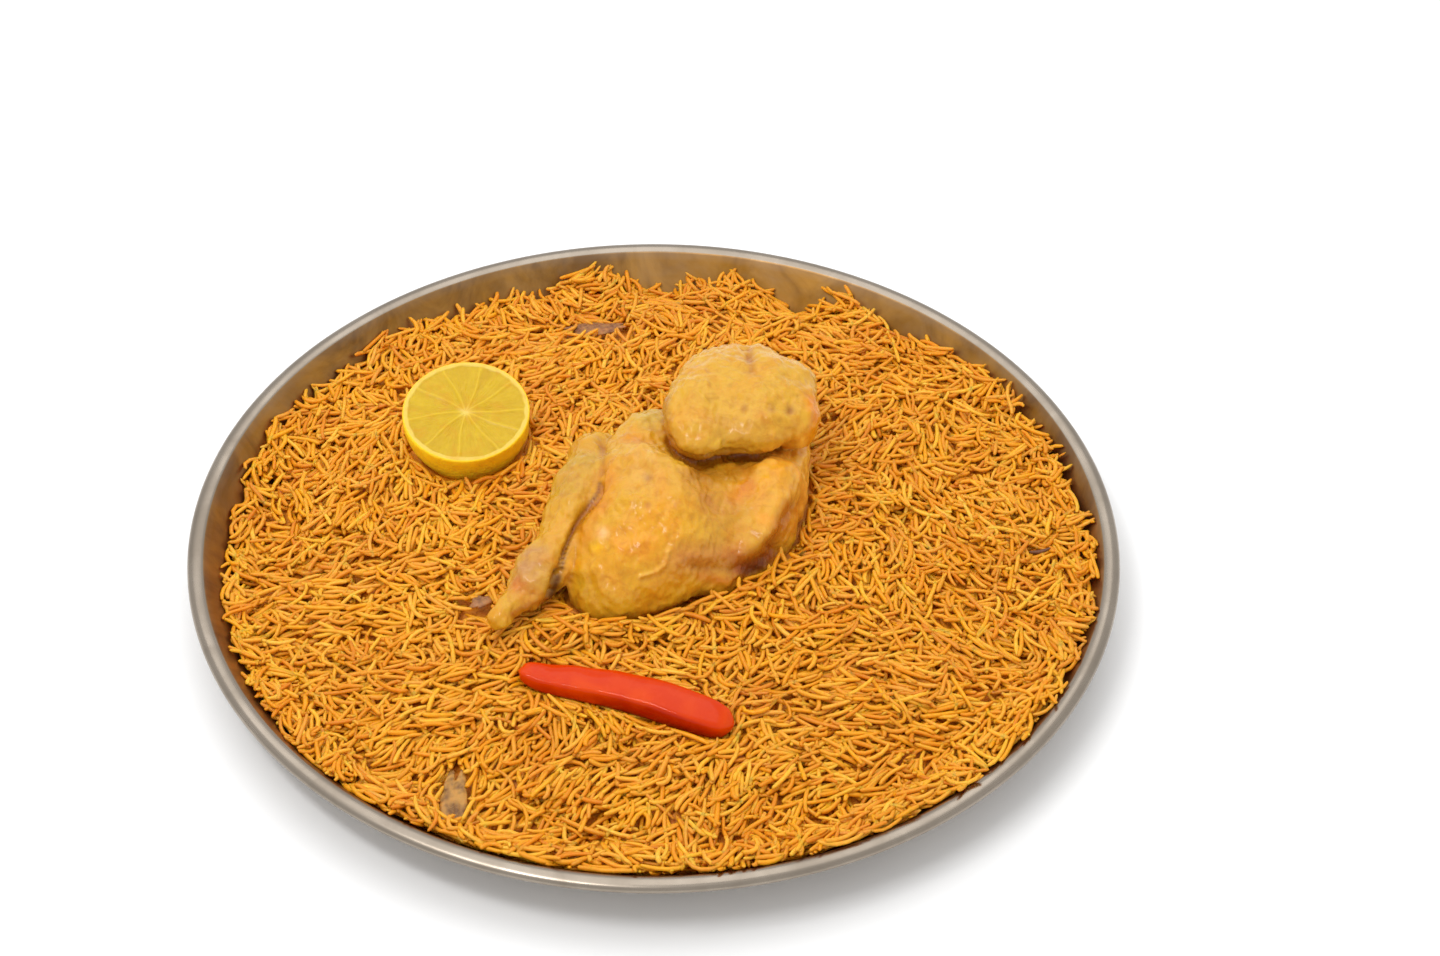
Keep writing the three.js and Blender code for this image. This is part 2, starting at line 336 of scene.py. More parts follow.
def seenPatch(places, normals, path, radius):
    # like patch, but the path is drawn over the picture and the radius is in its pixels
    towards = np.array(cameraChoices["place"]) / mm - places
    towards /= np.linalg.norm(towards, axis=1)[:, None]
    facing = np.einsum("ij,ij->i", normals, towards)
    return patch(inPicture(places), path, radius) * ease(facing, -0.15, 0.15)


studioChoices = {
    "floorSize": 12,
    "floorTones": ((0.9, 0.9, 0.9), (0.97, 0.97, 0.97)),
    "worldStrength": 0.86,
    "keyPlace": Vector((-0.1, 0.55, 1.6)),
    "keySize": (1.8, 1.8),
    "keyPower": 12.6,
    "fillPlace": Vector((-0.6, -0.6, 1.75)),
    "fillSize": (0.8, 0.22),
    "fillPower": 9.6,
    "lightAim": Vector((0, 0, 0.03)),
}


def floorLook():
    look, tree = newLook("paleFloor")
    soft = noiseOn(tree, objectPlaces(tree), 3.0, 4.0)
    grey, pale = studioChoices["floorTones"]
    floorTone = mixTones(tree, remap(tree, soft, 0.3, 0.7, 0.97, 1.0), rgba(grey), rgba(pale))
    return finishLook(look, {"Base Color": floorTone, "Roughness": 0.8})


def setStudio():
    clearSelection()
    bpy.ops.mesh.primitive_plane_add(size=studioChoices["floorSize"])
    floor = bpy.context.object
    floor.name = "floor"
    floor.data.materials.append(floorLook())
    for name in ("key", "fill"):
        place = studioChoices[name + "Place"]
        bpy.ops.object.light_add(type="AREA", location=place)
        light = bpy.context.object
        light.data.shape = "RECTANGLE"
        light.data.size, light.data.size_y = studioChoices[name + "Size"]
        light.data.energy = studioChoices[name + "Power"]
        light.rotation_euler = (studioChoices["lightAim"] - place).to_track_quat("-Z", "Y").to_euler()
    scene = bpy.context.scene
    scene.view_settings.view_transform = "Standard"
    world = scene.world or bpy.data.worlds.new("studio")
    scene.world = world
    world.use_nodes = True
    sky = world.node_tree.nodes["Background"]
    sky.inputs["Color"].default_value = (1, 1, 1, 1)
    sky.inputs["Strength"].default_value = studioChoices["worldStrength"]


placeCamera()
setStudio()
print("camera, floor and light placed")


# Level of the rice: a low mound that leans a little and has two bays at the back

riceChoices = {
    "edge": 18.0,
    "crown": 33.0,
    "spread": 186.0,
    "lean": (0.012, 0.008),
    "lumps": [(1 / 21, 1 / 25, 0.9), (1 / 17, -1 / 12, 0.7)],
    "bays": [(4, 181, 13, 7), (67, 170, 15, 6)],
    "gap": 0.35,
    "coreSink": 4.5,
    "shoulder": 9.0,
    "coreSides": 180,
    "coreRings": 70,
}


def riceLevel(x, y):
    x, y = np.asarray(x, float), np.asarray(y, float)
    reach = np.hypot(x, y) / riceChoices["spread"]
    edge, crown = riceChoices["edge"], riceChoices["crown"]
    level = edge + (crown - edge) * (1 - reach**2)
    level = level + riceChoices["lean"][0] * x + riceChoices["lean"][1] * y
    for pullX, pullY, rise in riceChoices["lumps"]:
        level = level + rise * np.sin(pullX * x + pullY * y)
    for bayX, bayY, radius, depth in riceChoices["bays"]:
        level = level - depth * np.exp(-((x - bayX) ** 2 + (y - bayY) ** 2) / radius**2)
    return level


# Steel tray

trayChoices = {
    "radius": 200.0,
    "height": 30.0,
    "sheet": 1.0,
    "rimWidth": 8.0,
    "rimRise": 2.6,
    "rimTurn": (150.0, -14.0),  # degrees at which the roll starts inside and ends outside
    "floorRadius": 171.0,
    "floorRings": [60, 120, 160],
    "fillet": 5.0,
    "sides": 256,
    "steelTones": (tone(156, 145, 132), tone(138, 127, 114)),
    # browns for the inner wall: partly a fat stain, partly a painted reflection of the rice
    "fatAndReflectionTones": (tone(118, 78, 24), tone(168, 120, 48)),
    "fatAndReflectionLevel": (28.5, 26.0),  # the fat stain and the painted reflection are weaker above these levels
    "markFineness": 2600,
}
rimHalf, rimRise = trayChoices["rimWidth"] / 2, trayChoices["rimRise"]
rimCentre = (trayChoices["radius"] - rimHalf, trayChoices["height"] - rimRise)
wallTop = arc(rimCentre, rimHalf, rimRise, trayChoices["rimTurn"][0], 180, 1)[0]
wallAngle = math.atan2(wallTop[1] - trayChoices["sheet"], wallTop[0] - trayChoices["floorRadius"])


def wallRadius(height):
    return trayChoices["floorRadius"] + (height - trayChoices["sheet"]) / math.tan(wallAngle)


def cornerArc(offset, steps):
    # the round between floor and wall, this far out from the steel's upper face
    fillet = trayChoices["fillet"]
    centre = (trayChoices["floorRadius"] - fillet * math.tan(wallAngle / 2), trayChoices["sheet"] + fillet)
    return arc(centre, fillet + offset, fillet + offset, -90, -90 + math.degrees(wallAngle), steps)


def steelLook():
    look, tree = newLook("satinSteel")
    places = objectPlaces(tree)
    split = addNode(tree, "ShaderNodeSeparateXYZ", {"Vector": places})
    x, y, z = [split.outputs[axis] for axis in "XYZ"]
    squares = [sums(tree, "MULTIPLY", axis, axis) for axis in (x, y)]
    radius = sums(tree, "SQRT", sums(tree, "ADD", *squares))
    lathe = addNode(tree, "ShaderNodeCombineXYZ", {
        "X": sums(tree, "MULTIPLY", radius, trayChoices["markFineness"]),
        "Y": sums(tree, "MULTIPLY", sums(tree, "ARCTAN2", y, x), 5),
        "Z": sums(tree, "MULTIPLY", z, trayChoices["markFineness"]),
    }).outputs["Vector"]
    marks = noiseOn(tree, lathe, 1.0, 4.0, 0.7)
    smudges = noiseOn(tree, places, 38.0, 5.0, 0.6, 0.6)
    inside = attribute(tree, "trayInside")
    turned = remap(tree, marks, 0.25, 0.75, 0.2, 0.32)
    worn = sums(tree, "ADD", turned, remap(tree, smudges, 0.4, 0.75, 0.0, 0.12))
    bright, dull = trayChoices["steelTones"]
    steel = stain(tree, smudges, 0.35, 0.7, 1.0, rgba(bright), dull)
    # the inner wall is browner lower down: partly a fat stain, partly a painted reflection of the rice
    high, low = trayChoices["fatAndReflectionLevel"]
    below = sums(tree, "MULTIPLY", inside, remap(tree, z, high * mm, low * mm, 0.8, 1))
    fatAndReflection = sums(tree, "MULTIPLY", below, remap(tree, smudges, 0.3, 0.66, 0.8, 0.98))
    patches = noiseOn(tree, places, 24.0, 4.0, 0.6, 1.5)
    deep, light = trayChoices["fatAndReflectionTones"]
    brown = stain(tree, patches, 0.35, 0.65, 1.0, rgba(deep), light)
    return finishLook(look, {
        "Base Color": mixTones(tree, fatAndReflection, steel, brown),
        "Roughness": sums(tree, "ADD", worn, sums(tree, "MULTIPLY", inside, 0.14)),
        "Normal": bumpOn(tree, marks, 0.12, 0.00005),
        "Metallic": 1.0,
        "Coat Weight": 0.0,
    })


def makeTray():
    sheet = trayChoices["sheet"]
    inner, outer = trayChoices["rimTurn"]
    profile = [(radius, 0) for radius in trayChoices["floorRings"]]
    profile += cornerArc(sheet, 8)
    profile += arc(rimCentre, rimHalf - sheet, rimRise - sheet, inner, outer, 18)
    profile += arc(rimCentre, rimHalf, rimRise, outer, inner, 28)
    profile += cornerArc(0, 8)[::-1]
    profile += [(radius, sheet) for radius in trayChoices["floorRings"][::-1]]
    tray = turnProfile("trayBody", profile, trayChoices["sides"])
    smoothShade(tray, 35)
    places = readPlaces(tray)
    within = (np.hypot(places[:, 0], places[:, 1]) < wallTop[0] + 0.5) & (readNormals(tray)[:, 2] > 0.1)
    paint(tray, "trayInside", np.repeat(within[:, None].astype(float), 3, axis=1))
    tray.data.materials.append(steelLook())
    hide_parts("tray")
    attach(tray, "root")


makeTray()
print("tray made")


# Half chicken: lobes of flesh drawn out along bent spines, fused, then worked over and painted

# Each lobe has a spine in mm and, for each of its points, the half width, the rise and the depth
chickenLobes = {
    "body": {
        "breast": {
            "spine": [(-29, -52, 31), (-16, -33, 35), (5, 0, 38), (14, 32, 40), (16, 60, 38)],
            "sizes": [(17, 15, 10), (31, 28, 12), (43, 35, 16), (40, 28, 20), (32, 20, 18)],
            "blunt": 0.62,
        },
        "back": {
            "spine": [(18, -37, 31), (35, -18, 34), (45, 12, 36), (49, 40, 38), (44, 68, 37)],
            "sizes": [(14, 13, 10), (19, 23, 12), (20, 27, 15), (19, 25, 18), (18, 18, 16)],
        },
        "neckSide": {
            "spine": [(-8, 20, 48), (-2, 35, 50), (8, 48, 50)],
            "sizes": [(15, 13, 12), (16, 13, 12), (15, 12, 12)],
        },
    },
    "leg": {
        "drumstick": {
            "spine": [(-60, -54, 40), (-51, -43.5, 42), (-38, -22, 44), (-29.5, 8, 47), (-24, 42, 47)],
            "sizes": [(9, 7.5, 7), (11.5, 10, 9), (12, 13, 10), (14.5, 17, 14), (12.5, 12, 12)],
        },
        "knuckle": {
            "spine": [(-67, -66.5, 38.5), (-62, -58, 40), (-56, -49, 40.5)],
            "sizes": [(6.5, 5.5, 5), (5.6, 5, 5), (6.5, 6, 6)],
        },
    },
    "wing": {
        "wingFlap": {
            "spine": [(36, 88, 56), (36, 64, 65), (38, 36, 68), (40, 14, 66)],
            "sizes": [(17, 8, 10), (27, 11, 12), (29, 12, 12), (24, 10, 9)],
        },
        "wingTip": {
            "spine": [(25, 68, 66), (19, 36, 69), (20, 9, 67)],
            "sizes": [(12, 9, 10), (16, 11, 12), (14, 9, 10)],
        },
        "wingLip": {
            "spine": [(8, 25, 66), (22, 20, 66), (38, 25, 66), (55, 28, 62)],
            "sizes": [(8, 7, 8), (9, 8, 8), (9, 8, 9), (8, 7, 8)],
        },
        "wingElbow": {
            "spine": [(54, 77, 55), (58, 57, 63), (58, 36, 64), (56, 23, 62)],
            "sizes": [(12, 9, 12), (13, 11, 18), (13, 11, 16), (12, 9, 12)],
        },
    },
}

chickenChoices = {
    "groupVoxel": 1.3,
    "groupSmoothing": {"body": 22, "leg": 10, "wing": 16},
    "voxel": 0.85,
    "smoothing": 3,
    "lumps": [(24, 0.75, 21), (10, 0.36, 22), (5.2, 0.2, 23)],
    "wrinkles": [(3.4, 0.16, 24), (2.2, 0.07, 25)],  # longer than wide
    "torn": [(7, 0.5, 31), (3, 0.25, 32)],  # over the cut edge of the meat
    "wrinkleStretch": 0.45,
    "lobeDetail": (40, 28),
    "follicleSize": (1.5, 0.5),  # radius and depth
    "follicleStain": (1.3, 0.35),  # radius and strength
    # how strongly the skin's hollows are darkened: painted shade
    "creaseShadeStrength": 0.6,
}

# Hollows in which another part of the bird lies: a path in mm, a radius and a depth
chickenBeds = {
    "body": [
        ([(4, 26, 71), (14, 16, 71), (30, 18, 69), (44, 22, 66), (56, 28, 60)], 11, 8.5),
        ([(20, 8, 72), (27, -2, 70), (32, -14, 67)], 12, 5.0),
    ],
}

# What is pressed into the skin or raised from it: a path in mm, a radius and a depth, negative for raised
chickenMarks = {
    "wingCleft": ([(39, 93, 62), (39, 84, 68), (40, 72, 75), (40, 62, 78)], 3.2, 2.4),
    "wingNotch": ([(40, 91, 60), (40, 86, 66)], 3.4, 1.2),
    "lipCleft": ([(30, 8, 66), (30, 12, 72)], 2.4, 0.8),
    "wingRidge": ([(44, 20, 77), (50, 40, 79), (50, 60, 76)], 9, -0.9),
    "wingHollow": ([(33, 30, 79), (34, 46, 80)], 8, 0.9),
    "cutSide": ([(36, -38, 41), (44, -32, 40), (51, -24, 40)], 6.5, 4.2),
    "cutEdge": ([(33, -34, 52), (42, -28, 50), (50, -19, 49)], 3.0, -1.4),
    "meatBand": ([(20, -42, 56), (28, -36, 56), (36, -32, 50)], 6.0, 0.9),
    "lowerFlap": ([(14, -54, 43), (24, -46, 42), (33, -40, 41)], 5.5, -1.8),
    "legGroove": ([(-49, -34, 52), (-41, -12, 55), (-35, 8, 60)], 4.0, 0.8),
    "ankle": ([(-60, -46, 46), (-56, -51, 48), (-51, -54, 45)], 2.6, 0.9),
    "neckHollow": ([(2, 50, 66), (14, 60, 62)], 9, 1.2),
    "breastDent": ([(-4, -8, 72), (-6, -2, 72)], 2.8, 0.9),
    "breastDentTwo": ([(4, -24, 68), (7, -21, 68)], 2.4, 0.8),
    "sideValley": ([(28, -24, 62), (34, -10, 64), (36, 0, 65)], 11, 1.4),
    "sideRidge": ([(58, 12, 58), (52, -4, 56), (45, -20, 52)], 5.5, -2.2),
    "breastRidge": ([(-10, -34, 64), (-4, -14, 70), (4, 2, 72)], 9, -0.8),
}

# The same as the camera sees it: a path over the picture, a radius in its pixels and a depth in mm
legCrease = [(600, 484), (598, 493), (590, 504), (581, 516), (575, 527), (570, 538), (565, 552), (562, 568)]
wingUnder = [(669, 441), (676, 452), (690, 460), (706, 460), (722, 456), (738, 455), (753, 458), (760, 457)]
skinFold = [(668, 552), (667, 561), (661, 568), (651, 573), (640, 576)]
underFold = [(x + 1, y + 4) for x, y in skinFold]
paleRidge = [(803, 456), (794, 486), (779, 511), (766, 534)]
topNotch = [(750, 350), (751, 361), (752, 370)]
chickenSeenMarks = {
    "legCrease": (legCrease, 3.2, 2.4),
    "legCreaseBroad": (legCrease, 8, 0.8),
    "legCreaseTop": ([(600, 436), (603, 450), (603, 466), (601, 480)], 5, 0.7),
    "legGap": ([(559, 572), (556, 584), (552, 598), (547, 606)], 5, 4.5),
    "skinFold": (skinFold, 2.6, -0.9),
    "skinFoldGroove": (underFold, 4.0, 0.6),
    "wingUnder": (wingUnder, 4.0, 2.6),
    "wingUnderBroad": ([(700, 474), (718, 472), (738, 470)], 12, 1.6),
    "paleRidge": (paleRidge, 9, -1.2),
    "sideCrease": ([(790, 505), (779, 524), (769, 541)], 5, 1.2),
    "topNotch": (topNotch, 4, 1.0),
    "humpDip": ([(648, 478)], 5, 0.8),
    "humpDipTwo": ([(648, 505)], 4, 0.7),
    "humpFold": ([(628, 488), (644, 496), (662, 498)], 4, 0.5),
    "flankDent": ([(614, 470), (622, 474)], 4, 0.6),
    "meatLump": ([(700, 556), (722, 556), (742, 560)], 6, -0.9),
    "meatGroove": ([(690, 567), (714, 568), (736, 571)], 4.5, 0.9),
    "wingDimples": ([(745, 409)], 3.5, 0.6),
    "wingDimplesTwo": ([(772, 410)], 3.5, 0.6),
    "wingDimplesThree": ([(790, 410)], 4.5, 0.8),
    "wingCreaseLow": ([(672, 432), (694, 428), (716, 436), (730, 446)], 6, 0.6),
}

follicles = [
    (38.4, 28, 78.2), (49.2, 29.1, 77.3), (57.8, 28, 74.2), (32.2, 39.9, 79.2), (23.5, 30.5, 78.8),
    (53, 22, 74.5), (44, 47, 79), (61, 38, 74),
]

# Tones laid over the skin: a path, a radius, a tone and a strength, in mm or, for those seen, in pixels
chickenTones = {
    "skin": tone(209, 155, 29),
    "legSkin": tone(206, 154, 31),
    "wingSkin": tone(210, 158, 39),
    # a darker, browner tone for the skin's hollows: painted shade
    "creaseShade": tone(160, 88, 4),
    "follicle": tone(140, 84, 24),
    "warm": tone(255, 222, 170),  # these two multiply the tone below
    "dull": tone(236, 222, 205),
    "lighter": tone(84, 76, 40),  # added as light
    "patches": {
        "legPatch": ([(-54, -46, 49), (-50, -38, 51)], 7, tone(184, 130, 84), 0.8),
        "legOrange": ([(-52, -53, 45), (-57, -50, 47)], 4, tone(206, 108, 20), 0.6),
        "legGrey": ([(-38, -4, 60), (-32, 14, 62)], 9, tone(188, 146, 50), 0.7),
        "legYellow": ([(-44, -24, 54), (-40, -14, 56)], 7, tone(214, 152, 34), 0.5),
        "yellowGlow": ([(-12, -44, 59), (2, -30, 66)], 14, tone(226, 158, 26), 0.7),
        # darker brown along the right side, away from the light: painted shade
        "rightSideShade": ([(54, -12, 44), (62, 6, 44), (66, 18, 42)], 7, tone(194, 118, 28), 0.65),
        "shoulder": ([(2, 46, 66), (-4, 40, 66)], 9, tone(196, 162, 58), 0.75),
        "shoulderOrange": ([(-10, 30, 66), (-4, 22, 70)], 7, tone(220, 140, 20), 0.55),
        # paler on top of the breast hump: painted light
        "humpTopLight": ([(-4, 4, 72), (-6, -8, 72)], 9, tone(216, 166, 78), 0.5),
        "pinkTop": ([(26, -16, 65), (20, -8, 70)], 9, tone(190, 116, 58), 0.6),
        "brownTop": ([(30, -24, 62), (34, -14, 62)], 7, tone(168, 98, 40), 0.45),
        "goldSide": ([(50, -4, 57), (48, -14, 53)], 6, tone(226, 158, 46), 0.6),
    },
    "seen": {
        # dark tones along the crease between leg and body: painted shade
        "legCrease": (legCrease, 2.6, tone(84, 36, 2), 0.95),
        "legCreaseShadeUpper": ([(600, 440), (603, 455), (602, 472)], 3.5, tone(172, 112, 16), 0.5),
        "legCreaseGlow": ([(610, 470), (604, 500), (588, 526), (578, 556)], 9, tone(214, 134, 8), 0.5),
        # near black in the gap between leg and body: painted shade
        "legGap": ([(558, 578), (553, 592), (547, 606)], 5.5, tone(86, 42, 4), 0.95),
        "bodyEdge": ([(571, 562), (568, 582), (567, 602)], 5, tone(240, 174, 60), 0.65),
        "legLowEdge": ([(546, 600), (528, 606), (514, 614)], 4, tone(176, 96, 16), 0.7),
        # dark under the wing's overhang, fading out below it: painted shadow
        "wingUnder": (wingUnder, 5, tone(164, 96, 20), 0.85),
        "wingShadowBelow": ([(698, 472), (714, 475), (730, 474), (744, 468)], 10, tone(152, 86, 12), 0.7),
        "wingSide": ([(666, 398), (665, 420), (668, 438)], 4, tone(170, 104, 20), 0.6),
        "orangeStain": ([(747, 486), (738, 494)], 10, tone(214, 116, 6), 0.6),
        "yellowUnderWing": ([(768, 474), (786, 466)], 13, tone(228, 158, 20), 0.6),
        "paleRidge": (paleRidge, 8, tone(228, 174, 70), 0.5),
        "yellowOnRidge": ([(763, 519)], 6, tone(228, 152, 4), 0.6),
        # darker side beyond the pale ridge: painted shade
        "sideShadeBrown": ([(790, 506), (778, 530), (768, 546)], 7, tone(168, 88, 18), 0.7),
        # deeper orange down the right side: partly browned skin, partly painted shade
        "sideShadeOrange": ([(813, 474), (804, 503), (793, 530)], 8, tone(224, 140, 34), 0.5),
        # a pale, glossy-looking band at the right edge: painted highlight
        "sideHighlight": ([(803, 440), (808, 460), (810, 484), (808, 510)], 8, tone(244, 180, 64), 0.75),
        # paler under the wing's right end: painted light
        "underWingLight": ([(764, 460), (786, 456)], 8, tone(238, 178, 68), 0.7),
        "meatPink": ([(684, 558), (708, 556), (736, 554)], 15, tone(192, 122, 54), 0.75),
        "meatRed": ([(740, 568), (752, 565), (767, 556)], 12, tone(148, 70, 10), 0.95),
        "meatDark": ([(746, 572), (762, 564)], 7, tone(96, 38, 2), 0.85),
        "meatLine": ([(694, 567), (714, 569), (736, 572)], 5, tone(166, 98, 30), 0.4),
        "lowFlap": ([(700, 577), (722, 581), (744, 582)], 6, tone(200, 112, 24), 0.6),
        "yellowSpot": ([(597, 548)], 6, tone(236, 182, 0), 1),
        "yellowPatch": ([(580, 568), (590, 560)], 8, tone(222, 156, 8), 0.5),
        # a pale wet spot: painted highlight
        "wetHighlight": ([(603, 533)], 6, tone(236, 190, 130), 0.8),
        "foldPale": (skinFold, 2.2, tone(238, 188, 84), 0.75),
        # darker just under the skin fold: painted shade
        "foldShadeBelow": (underFold, 3, tone(184, 116, 12), 0.4),
        "humpDip": ([(648, 478)], 4.5, tone(172, 132, 84), 0.6),
        "humpDipTwo": ([(648, 505)], 3.5, tone(172, 98, 36), 0.65),
        # a paler greenish sheen at the top of the breast: painted highlight
        "breastTopSheen": ([(640, 404), (652, 410)], 9, tone(198, 168, 74), 0.6),
        "wingDimples": ([(745, 409)], 3.5, tone(160, 104, 34), 0.6),
        "wingDimplesTwo": ([(772, 410)], 3.5, tone(160, 104, 34), 0.6),
        "wingDimplesThree": ([(790, 410)], 4.5, tone(146, 86, 26), 0.7),
        "topNotch": (topNotch, 4, tone(176, 112, 34), 0.6),
        "wingGold": ([(812, 400), (815, 422), (811, 444)], 6, tone(222, 140, 0), 0.95),
        # the wing's lower half darker and browner: painted shade
        "wingLowerShade": ([(712, 424), (736, 430), (758, 428)], 12, tone(196, 136, 46), 0.45),
    },
}


def makeLobe(spine, sizes, blunt=0.5):
    lobe = addSphere(*chickenChoices["lobeDetail"])
    unit = readPlaces(lobe)
    shares = (1 - np.clip(unit[:, 2], -1, 1)) / 2
    radial = np.hypot(unit[:, 0], unit[:, 1])
    fuller = np.where(radial > 1e-6, np.maximum(radial, 1e-6) ** (blunt - 1), 0)
    across, rise = unit[:, 0] * fuller, unit[:, 1] * fuller
    size = curveAt(sizes, shares)
    ahead = curveAt(spine, shares + 0.01) - curveAt(spine, shares - 0.01)
    ahead /= np.linalg.norm(ahead, axis=1)[:, None]
    side = np.cross(ahead, (0, 0, 1))
    side /= np.linalg.norm(side, axis=1)[:, None]
    over = np.cross(side, ahead)
    height = np.where(rise > 0, size[:, 1], size[:, 2])
    places = curveAt(spine, shares) + side * (across * size[:, 0])[:, None]
    writePlaces(lobe, places + over * (rise * height)[:, None])
    faceOutwards(lobe)
    return lobe


def fuse(name, parts, voxel, rounds):
    pick(*parts)
    if len(parts) > 1:
        bpy.ops.object.join()
    fused = bpy.context.object
    fused.name = name
    finishWith(fused, "REMESH", mode="VOXEL", voxel_size=voxel * mm)
    finishWith(fused, "SMOOTH", factor=0.5, iterations=rounds)
    return fused


def neighbourMeans(piece, values, rounds):
    edges = np.empty(len(piece.data.edges) * 2, np.int64)
    piece.data.edges.foreach_get("vertices", edges)
    first, second = edges.reshape(-1, 2).T
    count = np.bincount(edges, minlength=len(values))[:, None]
    for _ in range(rounds):
        total = np.zeros_like(values)
        for axis in range(values.shape[1]):
            total[:, axis] = np.bincount(first, values[second, axis], len(values))
            total[:, axis] += np.bincount(second, values[first, axis], len(values))
        values = total / count
    return values


def skinLook():
    look, tree = newLook("chickenSkin")
    places = objectPlaces(tree)
    base = attribute(tree, "skinTone")
    mottle = noiseOn(tree, places, 64.0, 5.0, 0.62, 0.6)
    warm = stain(tree, mottle, 0.44, 0.7, 0.7, base, chickenTones["warm"], "MULTIPLY")
    spotted = noiseOn(tree, places, 210.0, 4.0, 0.6, 0.8)
    dull = stain(tree, spotted, 0.48, 0.68, 0.8, warm, chickenTones["dull"], "MULTIPLY")
    fine = remap(tree, noiseOn(tree, places, 520.0, 4.0, 0.6), 0.5, 0.75, 0.0, 0.5)
    clouds = remap(tree, noiseOn(tree, places, 90.0, 4.0, 0.6, 0.8), 0.5, 0.7, 0.0, 0.5)
    light = sums(tree, "ADD", fine, clouds)
    dents = bumpOn(tree, poresOn(tree, places, 330.0), 0.25, 0.0006)
    wrinkles = noiseOn(tree, places, 260.0, 5.0, 0.66, 1.2)
    wet = noiseOn(tree, places, 60.0, 4.0, 0.6)
    bright = addNode(tree, "ShaderNodeRGBToBW", {"Color": base}).outputs["Val"]
    dry = remap(tree, bright, 0.06, 0.24, 0.85, 0.0)  # dark folds and the cut don't shine
    return finishLook(look, {
        "Base Color": mixTones(tree, light, dull, rgba(chickenTones["lighter"]), "SCREEN"),
        "Normal": bumpOn(tree, wrinkles, 0.35, 0.0007, dents),
        "Roughness": sums(tree, "MAXIMUM", remap(tree, wet, 0.35, 0.65, 0.18, 0.46), dry),
        "Subsurface Weight": 0.25,
        "Subsurface Radius": (1.0, 0.5, 0.2),
        "Subsurface Scale": 0.002,
        "Specular IOR Level": 0.2,
        "Coat Weight": 0.25,
        "Coat Roughness": 0.12,
    })


def pressMarks(chicken):
    places, normals = readPlaces(chicken), readNormals(chicken)
    depth = np.zeros(len(places))
    for path, radius, press in chickenMarks.values():
        depth += press * patch(places, path, radius)
    radius, press = chickenChoices["follicleSize"]
    for spot in follicles:
        depth += press * patch(places, [spot], radius)
    for length, size, seed in chickenChoices["lumps"]:
        depth += size * ripple(places, length, seed)
    for length, size, seed in chickenChoices["wrinkles"]:
        depth += size * ripple(places * (1, chickenChoices["wrinkleStretch"], 1), length, seed)
    for path, radius, press in chickenSeenMarks.values():
        depth += press * seenPatch(places, normals, path, radius)
    edges = [patch(places, *chickenMarks[name][:2]) for name in ("cutSide", "meatBand")]
    (long, longSize, longSeed), (short, shortSize, shortSeed) = chickenChoices["torn"]
    torn = longSize * ripple(places, long, longSeed) + shortSize * ripple(places, short, shortSeed)
    depth += np.maximum(*edges) * torn
    places = places - normals * depth[:, None]
    writePlaces(chicken, places)
    return places


def skinTones(chicken, places):
    normals = readNormals(chicken)
    hollow = np.einsum("ij,ij->i", neighbourMeans(chicken, places, 30) - places, normals)
    legShare = patch(places, chickenLobes["leg"]["drumstick"]["spine"], 15)
    wingShare = ease(places[:, 2], 62, 68) * ease(places[:, 1], -4, 6)
    tones = blendTones(chickenTones["skin"], chickenTones["legSkin"], legShare)
    tones = blendTones(tones, chickenTones["wingSkin"], wingShare)
    speckle = 0.5 + 0.5 * np.clip(ripple(places, 9, 41) + 0.6 * ripple(places, 4, 42), -1, 1)
    for path, radius, colour, strength in chickenTones["patches"].values():
        share = np.clip(patch(places, path, radius) * (0.7 + 0.6 * speckle), 0, 1)
        tones = blendTones(tones, colour, strength * share)
    for path, radius, colour, strength in chickenTones["seen"].values():
        tones = blendTones(tones, colour, strength * seenPatch(places, normals, path, radius))
    radius, strength = chickenChoices["follicleStain"]
    for spot in follicles:
        tones = blendTones(tones, chickenTones["follicle"], strength * patch(places, [spot], radius))
    # the hollows of the skin take a darker tone: painted shade
    creaseShadeShare = chickenChoices["creaseShadeStrength"] * ease(hollow, 0.35, 1.3)
    return blendTones(tones, chickenTones["creaseShade"], creaseShadeShare)


def makeChicken():
    groups = []
    for group, lobes in chickenLobes.items():
        parts = [makeLobe(**lobe) for lobe in lobes.values()]
        fused = fuse(group, parts, chickenChoices["groupVoxel"], chickenChoices["groupSmoothing"][group])
        unpressed, normals = readPlaces(fused), readNormals(fused)
        places = unpressed
        for path, radius, depth in chickenBeds.get(group, []):
            places = places - normals * (depth * patch(unpressed, path, radius))[:, None]
        writePlaces(fused, places)
        groups.append(fused)
    chicken = fuse("chickenHalf", groups, chickenChoices["voxel"], chickenChoices["smoothing"])
    places = pressMarks(chicken)
    smoothShade(chicken)
    paint(chicken, "skinTone", skinTones(chicken, places))
    chicken.data.materials.clear()
    chicken.data.materials.append(skinLook())
    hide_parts("half_chicken")
    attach(chicken, "root")
    return chicken


chicken = makeChicken()
print("chicken made,", 2 * len(chicken.data.polygons), "triangles")


# Lemon half, cut side up

lemonChoices = {
    "radius": 28.2,
    "depth": 33.0,
    "tilt": 10.0,
    "place": (-83.3, 61.9, 44.5),
    "pith": 2.3,
    "fullness": 0.74,  # under 1, the sides stand steeper than on an ellipsoid
    "segments": [0, 38, 74, 113, 147, 188, 226, 262, 303, 334],  # degrees of the membranes
    "sides": 300,
    "faceRings": 46,
    "peelRings": 26,
    "peelTone": tone(248, 204, 26),
    # lighter for the peel lower down, to lift its shade: painted light
    "peelLowerLight": tone(255, 222, 40),
    "pithTone": tone(220, 192, 86),
    "fleshTone": tone(200, 165, 10),
    "fleshDeep": tone(188, 147, 0),
    "membraneTone": tone(214, 181, 44),
    "coreTone": tone(228, 206, 104),
    "mottleTone": tone(222, 184, 40),
    "ripeTone": tone(206, 138, 6),
    "membraneWidth": 0.75,
    "coreWidth": 2.6,
    "fleshDepth": 0.45,
    "edgeRound": 0.9,
}


